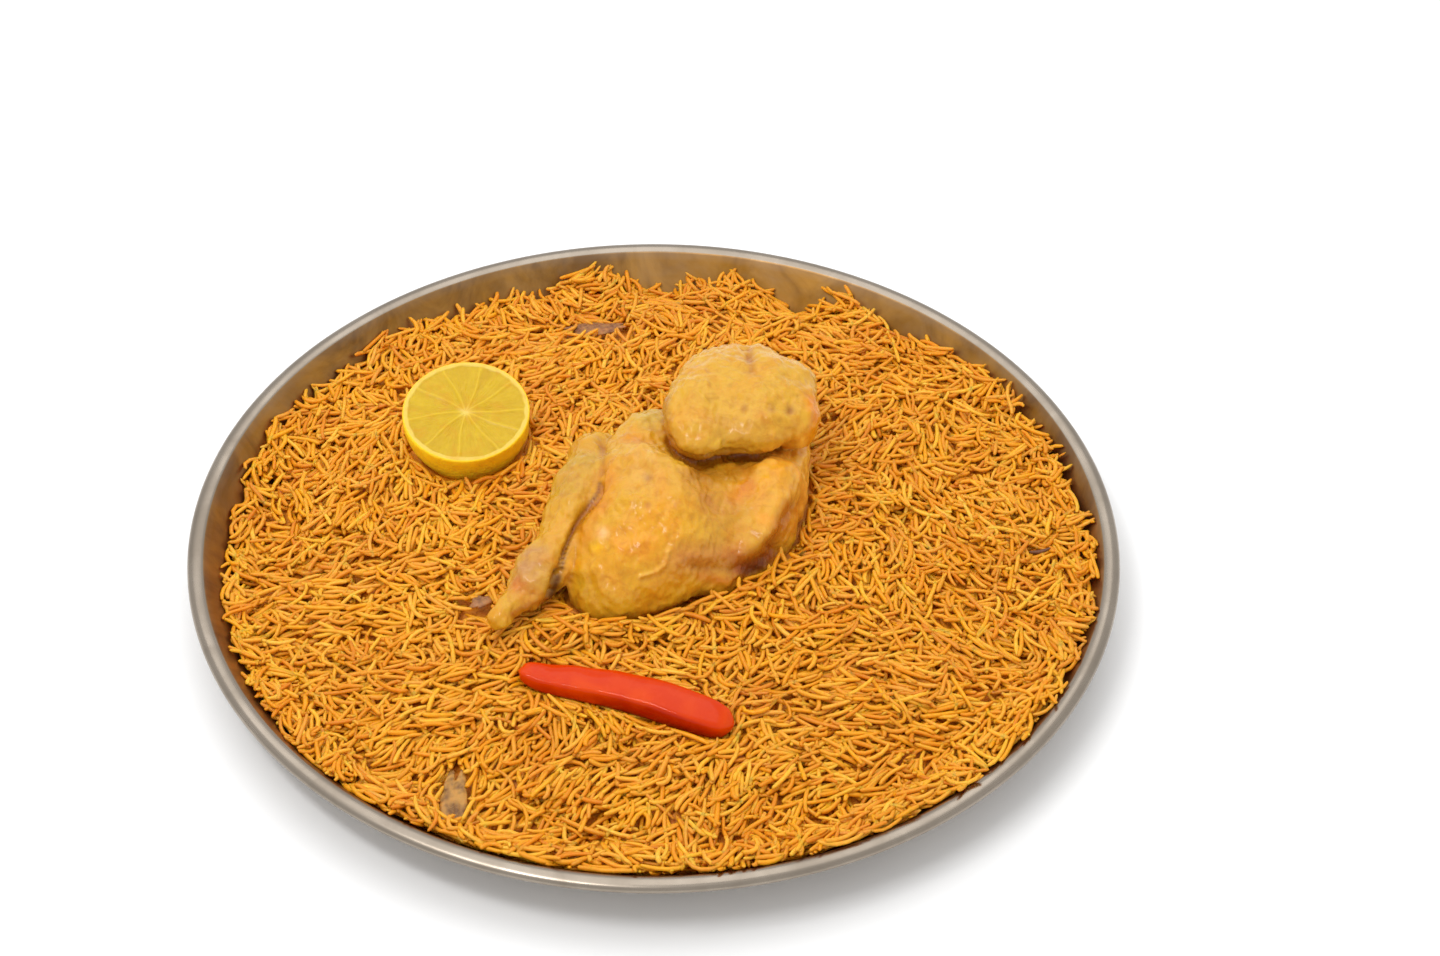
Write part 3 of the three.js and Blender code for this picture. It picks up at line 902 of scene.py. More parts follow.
def lemonLook():
    look, tree = newLook("lemonFlesh")
    places = objectPlaces(tree)
    onPeel = attribute(tree, "peelShare", "Fac")
    mottle = noiseOn(tree, places, 300.0, 4.0, 0.6)
    tinted = stain(tree, mottle, 0.4, 0.7, 0.3, attribute(tree, "lemonTone"), lemonChoices["mottleTone"])
    patches = noiseOn(tree, places, 120.0, 3.0, 0.6, 0.5)
    orange = sums(tree, "SUBTRACT", remap(tree, patches, 0.52, 0.66, 0.0, 0.3), onPeel)  # not on the peel
    pitted = sums(tree, "MULTIPLY", poresOn(tree, places, 620.0), onPeel)
    pulp = noiseOn(tree, places, 480.0, 3.0, 0.6)
    return finishLook(look, {
        "Base Color": mixTones(tree, orange, tinted, rgba(lemonChoices["ripeTone"])),
        "Normal": bumpOn(tree, pulp, 0.25, 0.0005, bumpOn(tree, pitted, 0.5, 0.0006)),
        "Roughness": remap(tree, onPeel, 0, 1, 0.3, 0.42),
        "Subsurface Weight": 0.35,
        "Subsurface Radius": (1.0, 0.8, 0.2),
        "Subsurface Scale": 0.003,
        "Specular IOR Level": 0.2,
        "Coat Weight": 0.08,
        "Coat Roughness": 0.2,
    })


def makeLemon():
    radius, depth, pith = [lemonChoices[name] for name in ("radius", "depth", "pith")]
    flesh = radius - pith
    turns = np.radians(np.linspace(-88, -4, lemonChoices["peelRings"] + 1))
    fullness, edge = lemonChoices["fullness"], lemonChoices["edgeRound"]
    profile = [(radius * math.cos(turn) ** fullness, depth * math.sin(turn)) for turn in turns]
    profile += arc((radius - edge, -edge), edge, edge, 0, 90, 4)
    profile += [(radius - pith * share, 0) for share in (0.45, 0.6, 0.75, 0.9)]
    rings = lemonChoices["faceRings"]
    profile += [(flesh * (1 - step / rings), 0) for step in range(rings)]
    lemon = turnProfile("lemonHalf", profile, lemonChoices["sides"])
    places = readPlaces(lemon)
    reach = np.hypot(places[:, 0], places[:, 1])
    angle = np.degrees(np.arctan2(places[:, 1], places[:, 0])) % 360
    onFace = (places[:, 2] > -0.05) & (reach < radius - 0.8)
    bent = angle + 2.5 * np.sin(reach / 5)
    gaps = (bent[:, None] - np.array(lemonChoices["segments"], float) + 180) % 360 - 180
    across = np.radians(np.abs(gaps).min(axis=1)) * reach  # mm from the nearest membrane
    rind = flesh - reach + 0.25 * ripple(places[:, :2], 8, 51)
    membrane = np.exp(-((across / lemonChoices["membraneWidth"]) ** 2)) * ease(rind, -0.5, 0.5)
    core = np.exp(-((reach / lemonChoices["coreWidth"]) ** 2))
    inFlesh = onFace * ease(rind, -0.2, 0.5)
    polar = np.column_stack([np.radians(angle) * 44, reach * 0.42])
    sacs = (ripple(polar, 3.4, 52) + 0.6 * ripple(polar, 1.9, 53)) * ease(reach, 1, 9)
    sacs = np.clip(sacs, -1.4, 1.4)
    places[:, 2] += inFlesh * (-lemonChoices["fleshDepth"] + 0.1 * (1 - membrane) * sacs + 0.5 * membrane)
    places[:, 2] += onFace * core * -0.6
    peel = ~onFace & (reach > 1)
    outward = places / (radius**2, radius**2, depth**2)
    outward /= np.maximum(np.linalg.norm(outward, axis=1), 1e-9)[:, None]
    swell = 0.35 * ripple(places, 22, 54) + 0.12 * ripple(places, 5, 55)
    places = places + outward * (peel * swell * ease(-places[:, 2], 0, 3))[:, None]

    # the peel is painted lighter lower down: painted light
    low = peel * ease(-places[:, 2], 3, 14)
    tones = blendTones(lemonChoices["peelTone"], lemonChoices["peelLowerLight"], low)
    tones = blendTones(tones, lemonChoices["pithTone"], onFace * 1.0)
    wedge = 0.5 + 0.5 * ripple(np.column_stack([np.radians(angle) * 20, reach * 0.2]), 9, 56)
    deep = np.clip(0.4 * wedge + 0.09 * sacs + 0.15, 0, 1)
    fleshTones = blendTones(lemonChoices["fleshTone"], lemonChoices["fleshDeep"], deep)
    fleshTones = blendTones(fleshTones, lemonChoices["membraneTone"], 0.6 * membrane)
    fleshTones = blendTones(fleshTones, lemonChoices["coreTone"], core)
    tones = tones * (1 - inFlesh[:, None]) + fleshTones * inFlesh[:, None]
    paint(lemon, "lemonTone", tones)
    share = lemon.data.attributes.new("peelShare", "FLOAT", "POINT")
    share.data.foreach_set("value", peel.astype(np.float32))

    writePlaces(lemon, places)
    lemon.rotation_euler.x = math.radians(lemonChoices["tilt"])
    lemon.location = Vector(lemonChoices["place"]) * mm
    freezePlace(lemon)
    smoothShade(lemon)
    lemon.data.materials.append(lemonLook())
    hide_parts("lemon_half")
    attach(lemon, "root")
    return lemon


lemon = makeLemon()
print("lemon made")


# Strip of red pepper: a broad upper face, a rounded front edge and a lower side face

pepperChoices = {
    "ends": [(-56, -84), (32.5, -111)],
    "lift": 2.2,
    "endLift": 2.0,
    "twist": 9.0,  # degrees from end to end
    "section": [
        (-8.6, -4.2), (-9.0, 0.6), (-8.4, 3.6), (-6.6, 5.0), (-2.5, 5.8), (3.0, 5.9), (7.2, 4.9),
        (8.9, 2.6), (8.6, -0.8), (6.6, -3.8), (0.5, -4.4),
    ],
    "girth": [0.52, 0.66, 0.75, 0.81, 0.86, 0.9, 0.93, 0.93, 0.87, 0.7],
    "stations": 64,
    "sectionSteps": 44,
    "upperTone": tone(202, 52, 0),
    # darker red for the front side face: painted shade
    "sideShadeTone": tone(172, 32, 0),
    "paleTone": tone(224, 80, 0),
    "mottleTone": tone(220, 70, 0),
}


def pepperLook():
    look, tree = newLook("pepperSkin")
    places = objectPlaces(tree)
    mottle = noiseOn(tree, places, 160.0, 4.0, 0.55)
    fine = noiseOn(tree, places, 700.0, 3.0, 0.5)
    base = attribute(tree, "pepperTone")
    return finishLook(look, {
        "Base Color": stain(tree, mottle, 0.4, 0.7, 0.25, base, pepperChoices["mottleTone"]),
        "Normal": bumpOn(tree, fine, 0.1, 0.0003),
        "Roughness": remap(tree, mottle, 0.3, 0.7, 0.2, 0.34),
        "Subsurface Weight": 0.15,
        "Subsurface Radius": (1.0, 0.25, 0.1),
        "Subsurface Scale": 0.002,
        "Specular IOR Level": 0.03,
        "Coat Weight": 0.28,
        "Coat Roughness": 0.05,
    })


def makePepper():
    start, length, ahead, side = heading(pepperChoices["ends"])
    sides = pepperChoices["sectionSteps"]
    closed = pepperChoices["section"] + pepperChoices["section"][:1]
    section = curveAt(closed, np.linspace(0, 1, sides, endpoint=False))
    clearSelection()
    bpy.ops.mesh.primitive_circle_add(vertices=sides, radius=mm, fill_type="NGON")
    pepper = bpy.context.object
    pepper.name = "pepperStrip"
    editAll(pepper)
    for _ in range(pepperChoices["stations"]):
        bpy.ops.mesh.extrude_region_move(TRANSFORM_OT_translate={"value": (0, 0, mm)})
    bpy.ops.object.mode_set(mode="OBJECT")
    rough = readPlaces(pepper)
    station = np.round(rough[:, 2]).astype(int)
    turn = np.arctan2(rough[:, 1], rough[:, 0])
    corner = np.round(turn / (2 * math.pi) * sides).astype(int) % sides
    share = station / station.max()
    along = (1 - np.cos(share * math.pi)) / 2  # stations crowd together at the ends
    girth = curveAt([(g,) for g in pepperChoices["girth"]], along)[:, 0]
    closing = np.sqrt(np.clip(1 - (2 * along - 1) ** 16, 0.02, 1)) * np.clip((along / 0.02) ** 0.5, 0.25, 1)
    closing = np.minimum(closing, np.sqrt(np.clip((1 - along) / 0.05, 0.03, 1)))
    flat = section[corner] * (girth * closing)[:, None]
    x = start[0] + ahead[0] * along * length
    y = start[1] + ahead[1] * along * length
    level = riceLevel(x, y) + pepperChoices["lift"]
    lift = pepperChoices["endLift"] * ease(0.14 - along, 0, 0.14)  # the thin end turns up
    twist = math.radians(pepperChoices["twist"]) * (along - 0.4)
    across = flat[:, 0] * np.cos(twist) - flat[:, 1] * np.sin(twist)
    rise = flat[:, 0] * np.sin(twist) + flat[:, 1] * np.cos(twist)
    across = across + 1.2 * np.sin(along * math.pi * 1.3)
    places = np.column_stack([x + side[0] * across, y + side[1] * across, level + rise + lift])
    writePlaces(pepper, places)
    faceOutwards(pepper)
    normals = readNormals(pepper)
    places = places - normals * (0.14 * ripple(places, 22, 61) + 0.04 * ripple(places, 7, 62))[:, None]
    writePlaces(pepper, places)
    front = ease(-flat[:, 0], 6.5, 8.2)
    pale = 0.35 * ease(ripple(places, 20, 63), 0.1, 1) * (1 - front)
    # the front side face takes the darker tone: painted shade
    tones = blendTones(pepperChoices["upperTone"], pepperChoices["sideShadeTone"], front)
    tones = blendTones(tones, pepperChoices["paleTone"], pale)
    paint(pepper, "pepperTone", tones)
    smoothShade(pepper)
    pepper.data.materials.append(pepperLook())
    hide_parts("pepper_strip")
    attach(pepper, "root")
    return pepper


pepper = makePepper()
print("pepper made")


# Cooked onion, soft strands that cling together, half under the grains

onionChoices = {
    "lift": 0.6,
    "arch": 1.1,
    "voxel": 0.45,
    "veinTone": tone(200, 148, 74),
    "pieces": {
        "front": {
            "ends": [(-79, -129), (-82, -160)], "halfWidth": 4.6, "fan": (0.6, 1.2), "strands": 12,
            "bare": 2, "seed": 71, "tones": (tone(186, 134, 56), tone(116, 76, 26)),
        },
        "back": {
            "ends": [(-44, 141), (-13, 143)], "halfWidth": 5.0, "fan": (1.1, 0.8), "strands": 12,
            "bare": 4, "seed": 72, "tones": (tone(172, 112, 56), tone(120, 68, 30)),
        },
        "side": {
            "ends": [(-76, -47), (-71, -38)], "halfWidth": 3.4, "fan": (0.9, 1.0), "strands": 5,
            "bare": 2, "seed": 73, "tones": (tone(168, 112, 66), tone(116, 70, 34)),
        },
    },
}


def onionLook():
    look, tree = newLook("cookedOnion")
    veins = noiseOn(tree, objectPlaces(tree), 420.0, 4.0, 0.6, 1.5)
    base = attribute(tree, "onionTone")
    return finishLook(look, {
        "Base Color": stain(tree, veins, 0.45, 0.7, 0.4, base, onionChoices["veinTone"]),
        "Normal": bumpOn(tree, veins, 0.3, 0.0005),
        "Roughness": remap(tree, veins, 0.3, 0.7, 0.32, 0.5),
        "Subsurface Weight": 0.5,
        "Subsurface Radius": (1.0, 0.5, 0.2),
        "Subsurface Scale": 0.002,
        "Specular IOR Level": 0.3,
        "Coat Weight": 0.15,
        "Coat Roughness": 0.2,
    })


def onionStrand(choice, draw):
    start, length, ahead, side = heading(choice["ends"])
    first, last = draw.uniform(0, 0.3), draw.uniform(0.66, 1)
    offset = draw.uniform(-0.85, 0.85) * choice["halfWidth"]
    fanStart, fanEnd = choice["fan"]
    spine = []
    for share in np.linspace(first, last, 4):
        aside = offset * (fanStart + (fanEnd - fanStart) * share) + draw.normal(0, 0.5)
        x, y = start + ahead * share * length + side * aside
        arch = onionChoices["arch"] * (1 - (aside / choice["halfWidth"] / 1.2) ** 2)
        spine.append((x, y, float(riceLevel(x, y)) + onionChoices["lift"] + arch + draw.normal(0, 0.25)))
    width, height = draw.uniform(1.2, 2.1), draw.uniform(0.7, 1.0)
    return makeLobe(spine, [(width * share, height, height) for share in (0.7, 1, 1, 0.6)])


def makeOnion(name, choice, look):
    draw = np.random.default_rng(choice["seed"])
    strands = [onionStrand(choice, draw) for _ in range(choice["strands"])]
    petal = fuse("onion" + name.capitalize(), strands, onionChoices["voxel"], 2)
    faceOutwards(petal)
    places = readPlaces(petal)
    clouds = ripple(places, 9, choice["seed"] + 5) + 0.6 * ripple(places, 3, 79)
    pale, dark = choice["tones"]
    paint(petal, "onionTone", blendTones(pale, dark, 0.5 + 0.5 * np.clip(clouds, -1, 1)))
    smoothShade(petal)
    petal.data.materials.clear()
    petal.data.materials.append(look)
    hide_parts("onion_" + name)
    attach(petal, "root")
    return petal


onionSkin = onionLook()
onions = [makeOnion(name, choice, onionSkin) for name, choice in onionChoices["pieces"].items()]
print("onion made")


# Rice: a core under the grains, then thousands of grains laid down one by one

grainChoices = {
    "seed": 11,
    "mostOfKind": 2750,
    "tries": 110000,
    "candidates": 5,
    "segments": 6,
    "rings": 7,
    "cell": 0.8,  # of the height map that the grains come to rest on
    "mapHalf": 200.0,
    "sink": 0.6,
    "drape": 0.45,
    "aligned": 0.68,  # share of the grains that follow their neighbours
    "wander": 24.0,  # degrees
    "humps": [(38, 0.9, 101), (17, 0.7, 102)],
    "pits": (14, 3.2, 105),  # small hollows: wavelength, depth and seed
    "topSlack": 1.2,
    "standProud": 3.0,
    "steepest": 0.5,
    "bankWidth": 20.0,
    "heapAtChicken": (11.0, 5.0),  # radius and rise
    "coreTones": (tone(210, 122, 8), tone(236, 152, 16)),
    "deepTone": tone(202, 112, 4),
    "glowTone": tone(248, 200, 90),
    "backTone": tone(222, 128, 16),
    "cloudTone": tone(214, 124, 8),
}
chickenEdge = [
    (-34, -62), (-24, -60), (-12, -56), (0, -50), (12, -47), (24, -44), (35, -41), (44, -33), (51, -24),
]

# Level of the grains against the wall, by the direction in degrees
grainBanks = {
    -180: 20, -160: 21, -145: 24, -120: 27, -90: 28.5, -60: 29.2, -30: 28.5, 0: 26, 20: 24, 36: 25.5,
    44: 22.5, 52: 19.5, 61: 25, 67: 17.5, 71: 17, 76: 21.5, 83: 24, 87: 15.5, 91: 15.5, 97: 25.5, 101: 23,
    107: 18.5, 122: 20.5, 129: 24, 140: 20, 150: 22, 160: 22.5, 170: 20, 180: 20,
}

# Where the grains lie combed: place, radius and direction in degrees
grainCombs = [
    (62, -112, 26, 22), (88, -98, 24, -8), (40, -150, 24, 62), (76, -150, 26, 8), (10, -142, 24, 58),
    (30, -168, 20, 70), (112, -78, 26, -30), (-40, -150, 26, 40), (-120, 30, 34, 72), (-140, -30, 32, 10),
    (120, 10, 30, -55), (90, 70, 30, 48), (-90, -96, 28, 25), (0, 120, 26, 80), (-50, 104, 26, 35),
]

grainKinds = {
    "riceGolden": {"tone": tone(235, 164, 20), "length": 17.0, "width": 2.0, "bend": 2.0},
    "riceOrange": {"tone": tone(229, 148, 10), "length": 16.2, "width": 1.88, "bend": 2.1},
    "ricePale": {"tone": tone(239, 178, 42), "length": 17.4, "width": 2.0, "bend": 1.9},
    "riceCurled": {"tone": tone(234, 160, 18), "length": 18.6, "width": 1.9, "bend": 3.9},
    "riceShort": {"tone": tone(231, 156, 18), "length": 12.6, "width": 2.1, "bend": 1.4},
}


def coreLook():
    look, tree = newLook("riceBelow")
    places = objectPlaces(tree)
    clumps = noiseOn(tree, places, 120.0, 4.0, 0.6)
    fine = noiseOn(tree, places, 420.0, 3.0, 0.6)
    brown, orange = grainChoices["coreTones"]
    return finishLook(look, {
        "Base Color": stain(tree, clumps, 0.35, 0.65, 1.0, rgba(brown), orange),
        "Roughness": 0.55,
        "Normal": bumpOn(tree, fine, 0.8, 0.0012),
    })


def makeRiceCore():
    gap = riceChoices["gap"]
    shoulder = riceChoices["shoulder"]  # level at which the core turns inwards from the wall
    edge = wallRadius(shoulder) - gap / math.sin(wallAngle)
    profile = [(80, trayChoices["sheet"] + gap)]
    profile += cornerArc(-gap, 4)
    profile += [(edge, shoulder)]
    rings = riceChoices["coreRings"]
    profile += [(edge * (1 - step / rings), shoulder) for step in range(1, rings)]
    core = turnProfile("riceCore", profile, riceChoices["coreSides"])
    places = readPlaces(core)
    flat = places[:, :2]
    reach = np.hypot(*flat.T)
    upper = (places[:, 2] > shoulder - 0.01) & (reach < edge - 0.5)
    level = shoulder + (coreLevel(flat) - shoulder) * ease(edge - reach, 0, 6)
    places[upper, 2] = level[upper]
    writePlaces(core, places)
    smoothShade(core)
    core.data.materials.append(coreLook())
    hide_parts("rice")
    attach(core, "root")


def coreLevel(flat):
    level = riceLevel(*flat.T) - riceChoices["coreSink"]
    return np.maximum(level + 0.9 * ripple(flat, 7, 3) + 0.5 * ripple(flat, 3.5, 4), 4.0)


def modelGrain():
    grain = addSphere(grainChoices["segments"], grainChoices["rings"])
    layAlongX(grain)
    shape = readPlaces(grain)
    along = np.clip(shape[:, 0], -1, 1)
    ring = np.hypot(shape[:, 1], shape[:, 2])
    # plumper than an ellipse, one end slimmer
    fuller = np.sqrt(1 - np.abs(along) ** 9) * (1 - 0.1 * along)
    scale = np.where(ring > 1e-4, fuller / np.maximum(ring, 1e-4), 0)
    shape[:, 1:] *= scale[:, None]
    faces = [list(face.vertices) for face in grain.data.polygons]
    pick(grain)
    bpy.ops.object.delete()
    return shape, faces


def mapCells(places):
    cells = ((places[:, :2] + grainChoices["mapHalf"]) / grainChoices["cell"]).astype(int)
    return tuple(np.clip(cells, 0, len(heightMap) - 1).T)


def spreadMap(values, choose, rounds):
    for _ in range(rounds):  # closes the pinholes between the vertices
        spread = choose(values, choose(np.roll(values, 1, 0), np.roll(values, -1, 0)))
        values = choose(spread, choose(np.roll(spread, 1, 1), np.roll(spread, -1, 1)))
    return values


def mapPieces(pieces, choose, empty, rounds):
    found = np.full(heightMap.shape, empty)
    for piece in pieces:
        places = readPlaces(piece)
        choose.at(found, mapCells(places), places[:, 2])
    return spreadMap(found, choose, rounds)


def topOf(piece):
    return mapPieces([piece], np.maximum, -1e6, 1)


def combedYaw(flat, draw):
    wind = 2.4 * ripple(flat, 120, 111) + 0.9 * ripple(flat, 45, 112)
    turn = np.column_stack([np.cos(2 * wind), np.sin(2 * wind)])
    for x, y, radius, angle in grainCombs:
        weight = 3 * np.exp(-((flat[:, 0] - x) ** 2 + (flat[:, 1] - y) ** 2) / radius**2)
        double = 2 * math.radians(angle)
        turn += weight[:, None] * np.array([math.cos(double), math.sin(double)])
    yaw = np.arctan2(turn[:, 1], turn[:, 0]) / 2
    follows = draw.random(len(flat)) < grainChoices["aligned"]
    wander = draw.normal(0, math.radians(grainChoices["wander"]), len(flat))
    return np.where(follows, yaw + wander, draw.uniform(0, math.pi, len(flat)))


def chickenHeap(flat):
    radius, rise = grainChoices["heapAtChicken"]
    return rise * patch(flat, chickenEdge, radius)


def grainLevel(flat):
    level = riceLevel(*flat.T) + chickenHeap(flat)
    turn = np.degrees(np.arctan2(flat[:, 1], flat[:, 0]))
    bank = np.interp(turn, list(grainBanks), list(grainBanks.values()))
    reach = np.hypot(*flat.T)
    level = level + (bank - level) * ease(reach, 187 - grainChoices["bankWidth"], 184)
    for size, rise, seed in grainChoices["humps"]:
        level = level + rise * ripple(flat, size, seed)
    size, depth, seed = grainChoices["pits"]
    return level - depth * ease(ripple(flat, size, seed), 0.8, 1.6)


def grainLine(u, length, bend, hook, yaw):
    half = length / 2
    side = bend * (u**2 - 0.4) + hook * (u**3 - 0.6 * u)
    slope = (2 * bend * u + hook * (3 * u**2 - 0.6)) / half
    run = u * half / np.sqrt(1 + 0.4 * slope**2)  # a bent grain spans less
    x = run * np.cos(yaw) - side * np.sin(yaw)
    y = run * np.sin(yaw) + side * np.cos(yaw)
    return x, y, yaw + np.arctan(slope)


def restOn(under, drape):
    slopes = (under[lastRests] - under[firstRests]) / (restShares[lastRests] - restShares[firstRests])
    bases = under[firstRests] - slopes * restShares[firstRests]
    chosen = int(np.argmax(bases))  # the two highest points that hold it up on either side
    stiff = np.array([bases[chosen], slopes[chosen], 0])
    return stiff * (1 - drape) + (restFit @ under) * drape


def layGrains():
    draw = np.random.default_rng(grainChoices["seed"])
    tries = grainChoices["tries"]
    names = list(grainKinds)
    kind = draw.integers(0, len(names), tries)
    means = np.array([[grainKinds[name][key] for key in ("length", "width", "bend")] for name in names])
    meanLength, meanWidth, meanBend = means[kind].T
    length = meanLength * draw.normal(1, 0.11, tries).clip(0.7, 1.3)
    width = meanWidth * draw.normal(1, 0.07, tries).clip(0.8, 1.2)
    thickness = width * draw.uniform(0.82, 0.98, tries)
    bend = meanBend * draw.normal(0, 1.0, tries)
    hook = 0.9 * draw.normal(0, 1, tries)
    curl = 0.7 * draw.normal(0, 1, tries)  # of the ends, up or down
    tilt = draw.normal(0, 1, tries) * draw.choice([0.08, 0.2, 0.36], tries, p=[0.52, 0.34, 0.14])
    rows = grainChoices["candidates"]
    flat = draw.uniform(-190, 190, (tries * rows, 2))
    spots = flat.reshape(tries, rows, 2)
    yaws = combedYaw(flat, draw).reshape(tries, rows)
    level = grainLevel(flat)
    angle = np.arctan2(flat[:, 1], flat[:, 0])
    edge = np.column_stack([np.cos(angle), np.sin(angle)]) * 180
    ragged = 1.6 * ripple(edge, 40, 121) + 1.4 * ripple(edge, 18, 122)
    frontShare = 2.0 * ease(flat[:, 1], -60, 60)
    ragged = ragged * ease(flat[:, 1], -90, 20)
    inside = np.hypot(*flat.T) < wallRadius(level) - 1.0 + np.clip(ragged - frontShare, -4, 0)
    level = np.where(inside, level, -1e6).reshape(tries, rows)

    uPrint = np.repeat(np.linspace(-0.95, 0.95, 17), 5)
    vPrint = np.tile(np.linspace(-0.9, 0.9, 5), 17)
    crown = np.sqrt((1 - np.abs(uPrint) ** 9) * (1 - vPrint**2))
    laid = []
    laidOfKind = [0] * len(names)
    for index in range(tries):
        if laidOfKind[kind[index]] >= grainChoices["mostOfKind"]:
            continue
        lack = level[index] - heightMap[mapCells(spots[index])]
        best = int(np.argmax(lack))
        if lack[best] < 0.2:
            continue
        spot, yaw, top = spots[index, best], yaws[index, best], level[index, best]
        lineX, lineY, _ = grainLine(restShares, length[index], bend[index], hook[index], yaw)
        line = np.column_stack([spot[0] + lineX, spot[1] + lineY])
        cells = mapCells(line)
        shape = restOn(heightMap[cells], grainChoices["drape"])
        shape += (thickness[index] / 2 - grainChoices["sink"], tilt[index] * length[index] / 2, curl[index])
        shape[2] = np.clip(shape[2], -2.4, 2.4)
        rise = shape[0] + shape[1] * restShares + shape[2] * restShares**2
        if abs(shape[1]) > length[index] * grainChoices["steepest"]:
            continue
        if rise.max() > top + grainChoices["standProud"] or shape[0] > top + grainChoices["topSlack"]:
            continue
        if np.any(rise + 0.9 > ceilingMap[cells]):
            continue
        if np.any(np.hypot(*line.T) > wallRadius(rise) - 0.9):
            continue
        laid.append((index, spot[0], spot[1], yaw, *shape))
        laidOfKind[kind[index]] += 1
        printX, printY, turn = grainLine(uPrint, length[index], bend[index], hook[index], yaw)
        across = vPrint * width[index] / 2
        footprint = np.column_stack([
            spot[0] + printX - across * np.sin(turn), spot[1] + printY + across * np.cos(turn)
        ])
        crest = shape[0] + shape[1] * uPrint + shape[2] * uPrint**2 + crown * thickness[index] / 2
        np.maximum.at(heightMap, mapCells(footprint), crest)
    laid = np.array(laid)
    order = laid[:, 0].astype(int)
    sizes = {"length": length, "width": width, "thickness": thickness, "bend": bend, "hook": hook}
    chosen = {name: values[order] for name, values in sizes.items()}
    _, x, y, yaw = laid[:, :4].T
    chosen.update({"kind": kind[order], "x": x, "y": y, "yaw": yaw, "shape": laid[:, 4:]})
    print("grains laid", len(laid), laidOfKind)
    return chosen


def joinGrains(name, grains, member, look, seed):
    draw = np.random.default_rng(seed)
    shape, faces = oneGrain
    u, v, w = shape.T
    pull = {key: values[member] for key, values in grains.items()}
    count = len(pull["x"])
    bent = [pull[key][:, None] for key in ("length", "bend", "hook", "yaw")]
    lineX, lineY, turn = grainLine(u[None], *bent)
    across = v * pull["width"][:, None] / 2
    rise = pull["shape"][:, :1] + pull["shape"][:, 1:2] * u + pull["shape"][:, 2:] * u**2
    places = np.stack([
        pull["x"][:, None] + lineX - across * np.sin(turn),
        pull["y"][:, None] + lineY + across * np.cos(turn),
        rise + w * pull["thickness"][:, None] / 2,
    ], axis=-1)
    sizes = np.array([len(face) for face in faces])
    corners = np.concatenate(faces)
    offsets = np.arange(count)[:, None] * len(shape)
    mesh = bpy.data.meshes.new(name)
    mesh.vertices.add(count * len(shape))
    mesh.vertices.foreach_set("co", (places * mm).astype(np.float32).ravel())
    mesh.loops.add(count * len(corners))
    mesh.loops.foreach_set("vertex_index", (corners + offsets).ravel().astype(np.int32))
    mesh.polygons.add(count * len(faces))
    starts = np.concatenate([[0], np.cumsum(np.tile(sizes, count))[:-1]])
    mesh.polygons.foreach_set("loop_start", starts)
    mesh.update(calc_edges=True)
    piece = bpy.data.objects.new(name, mesh)
    bpy.context.collection.objects.link(piece)
    flat = np.column_stack([pull["x"], pull["y"]])
    deep = np.clip(0.16 + 0.26 * (draw.normal(0, 1, count) + 0.5 * ripple(flat, 60, 131)), 0, 0.75)
    glow = np.clip(0.12 * draw.normal(0.4, 1, count), 0, 0.4)
    tones = blendTones(grainKinds[name]["tone"], grainChoices["deepTone"], deep)
    tones = blendTones(tones, grainChoices["glowTone"], glow)
    tones = blendTones(tones, grainChoices["backTone"], 0.12 * ease(pull["y"], 60, 170))
    tips = 1 - 0.12 * np.abs(u) ** 3
    paint(piece, "grainTone", (tones[:, None, :] * tips[None, :, None]).reshape(-1, 3))
    smoothShade(piece)
    piece.data.materials.append(look)
    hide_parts("rice")
    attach(piece, "root")
    print(name, count, "grains,", int((sizes - 2).sum()) * count, "triangles")


def riceLook():
    look, tree = newLook("spicedRice")
    places = objectPlaces(tree)
    cloud = noiseOn(tree, places, 420.0, 3.0, 0.6)
    fine = noiseOn(tree, places, 1300.0, 2.0, 0.6)
    base = attribute(tree, "grainTone")
    return finishLook(look, {
        "Base Color": stain(tree, cloud, 0.4, 0.7, 0.35, base, grainChoices["cloudTone"]),
        "Normal": bumpOn(tree, fine, 0.2, 0.0002),
        "Roughness": remap(tree, cloud, 0.35, 0.7, 0.36, 0.55),
        "Subsurface Weight": 0.5,
        "Subsurface Radius": (1.0, 0.55, 0.15),
        "Subsurface Scale": 0.0024,
        "Specular IOR Level": 0.28,
    })


makeRiceCore()
print("rice core made")

# The level that the grains come to rest on, and the level that they stay under
cellCount = int(2 * grainChoices["mapHalf"] / grainChoices["cell"])
cellMiddles = (np.arange(cellCount) + 0.5) * grainChoices["cell"] - grainChoices["mapHalf"]
mapX, mapY = np.meshgrid(cellMiddles, cellMiddles, indexing="ij")
mapSpots = np.column_stack([mapX.ravel(), mapY.ravel()])
heightMap = coreLevel(mapSpots).reshape(mapX.shape)
wallReach = np.hypot(mapX, mapY) - trayChoices["floorRadius"]
wallLevel = trayChoices["sheet"] + wallReach * math.tan(wallAngle)
heightMap = np.maximum(heightMap, np.minimum(wallLevel, 40))
ceilingMap = mapPieces([chicken, lemon, pepper], np.minimum, 1e6, 2)
for onion, choice in zip(onions, onionChoices["pieces"].values()):
    onionTop = topOf(onion)
    # grains lie on the onion's edges and leave its middle bare
    heightMap = np.maximum(heightMap, onionTop)
    middle = spreadMap(onionTop, np.minimum, choice["bare"])
    ceilingMap = np.where(middle > 0, middle, ceilingMap)
chickenTop = topOf(chicken)
heap = chickenHeap(mapSpots).reshape(mapX.shape)
covered = (heap > 1) & (chickenTop > heightMap) & (chickenTop < riceLevel(mapX, mapY) + heap + 3)
heightMap[covered] = chickenTop[covered]  # here the grains lie on the chicken's lower edge
ceilingMap[covered] = 1e6

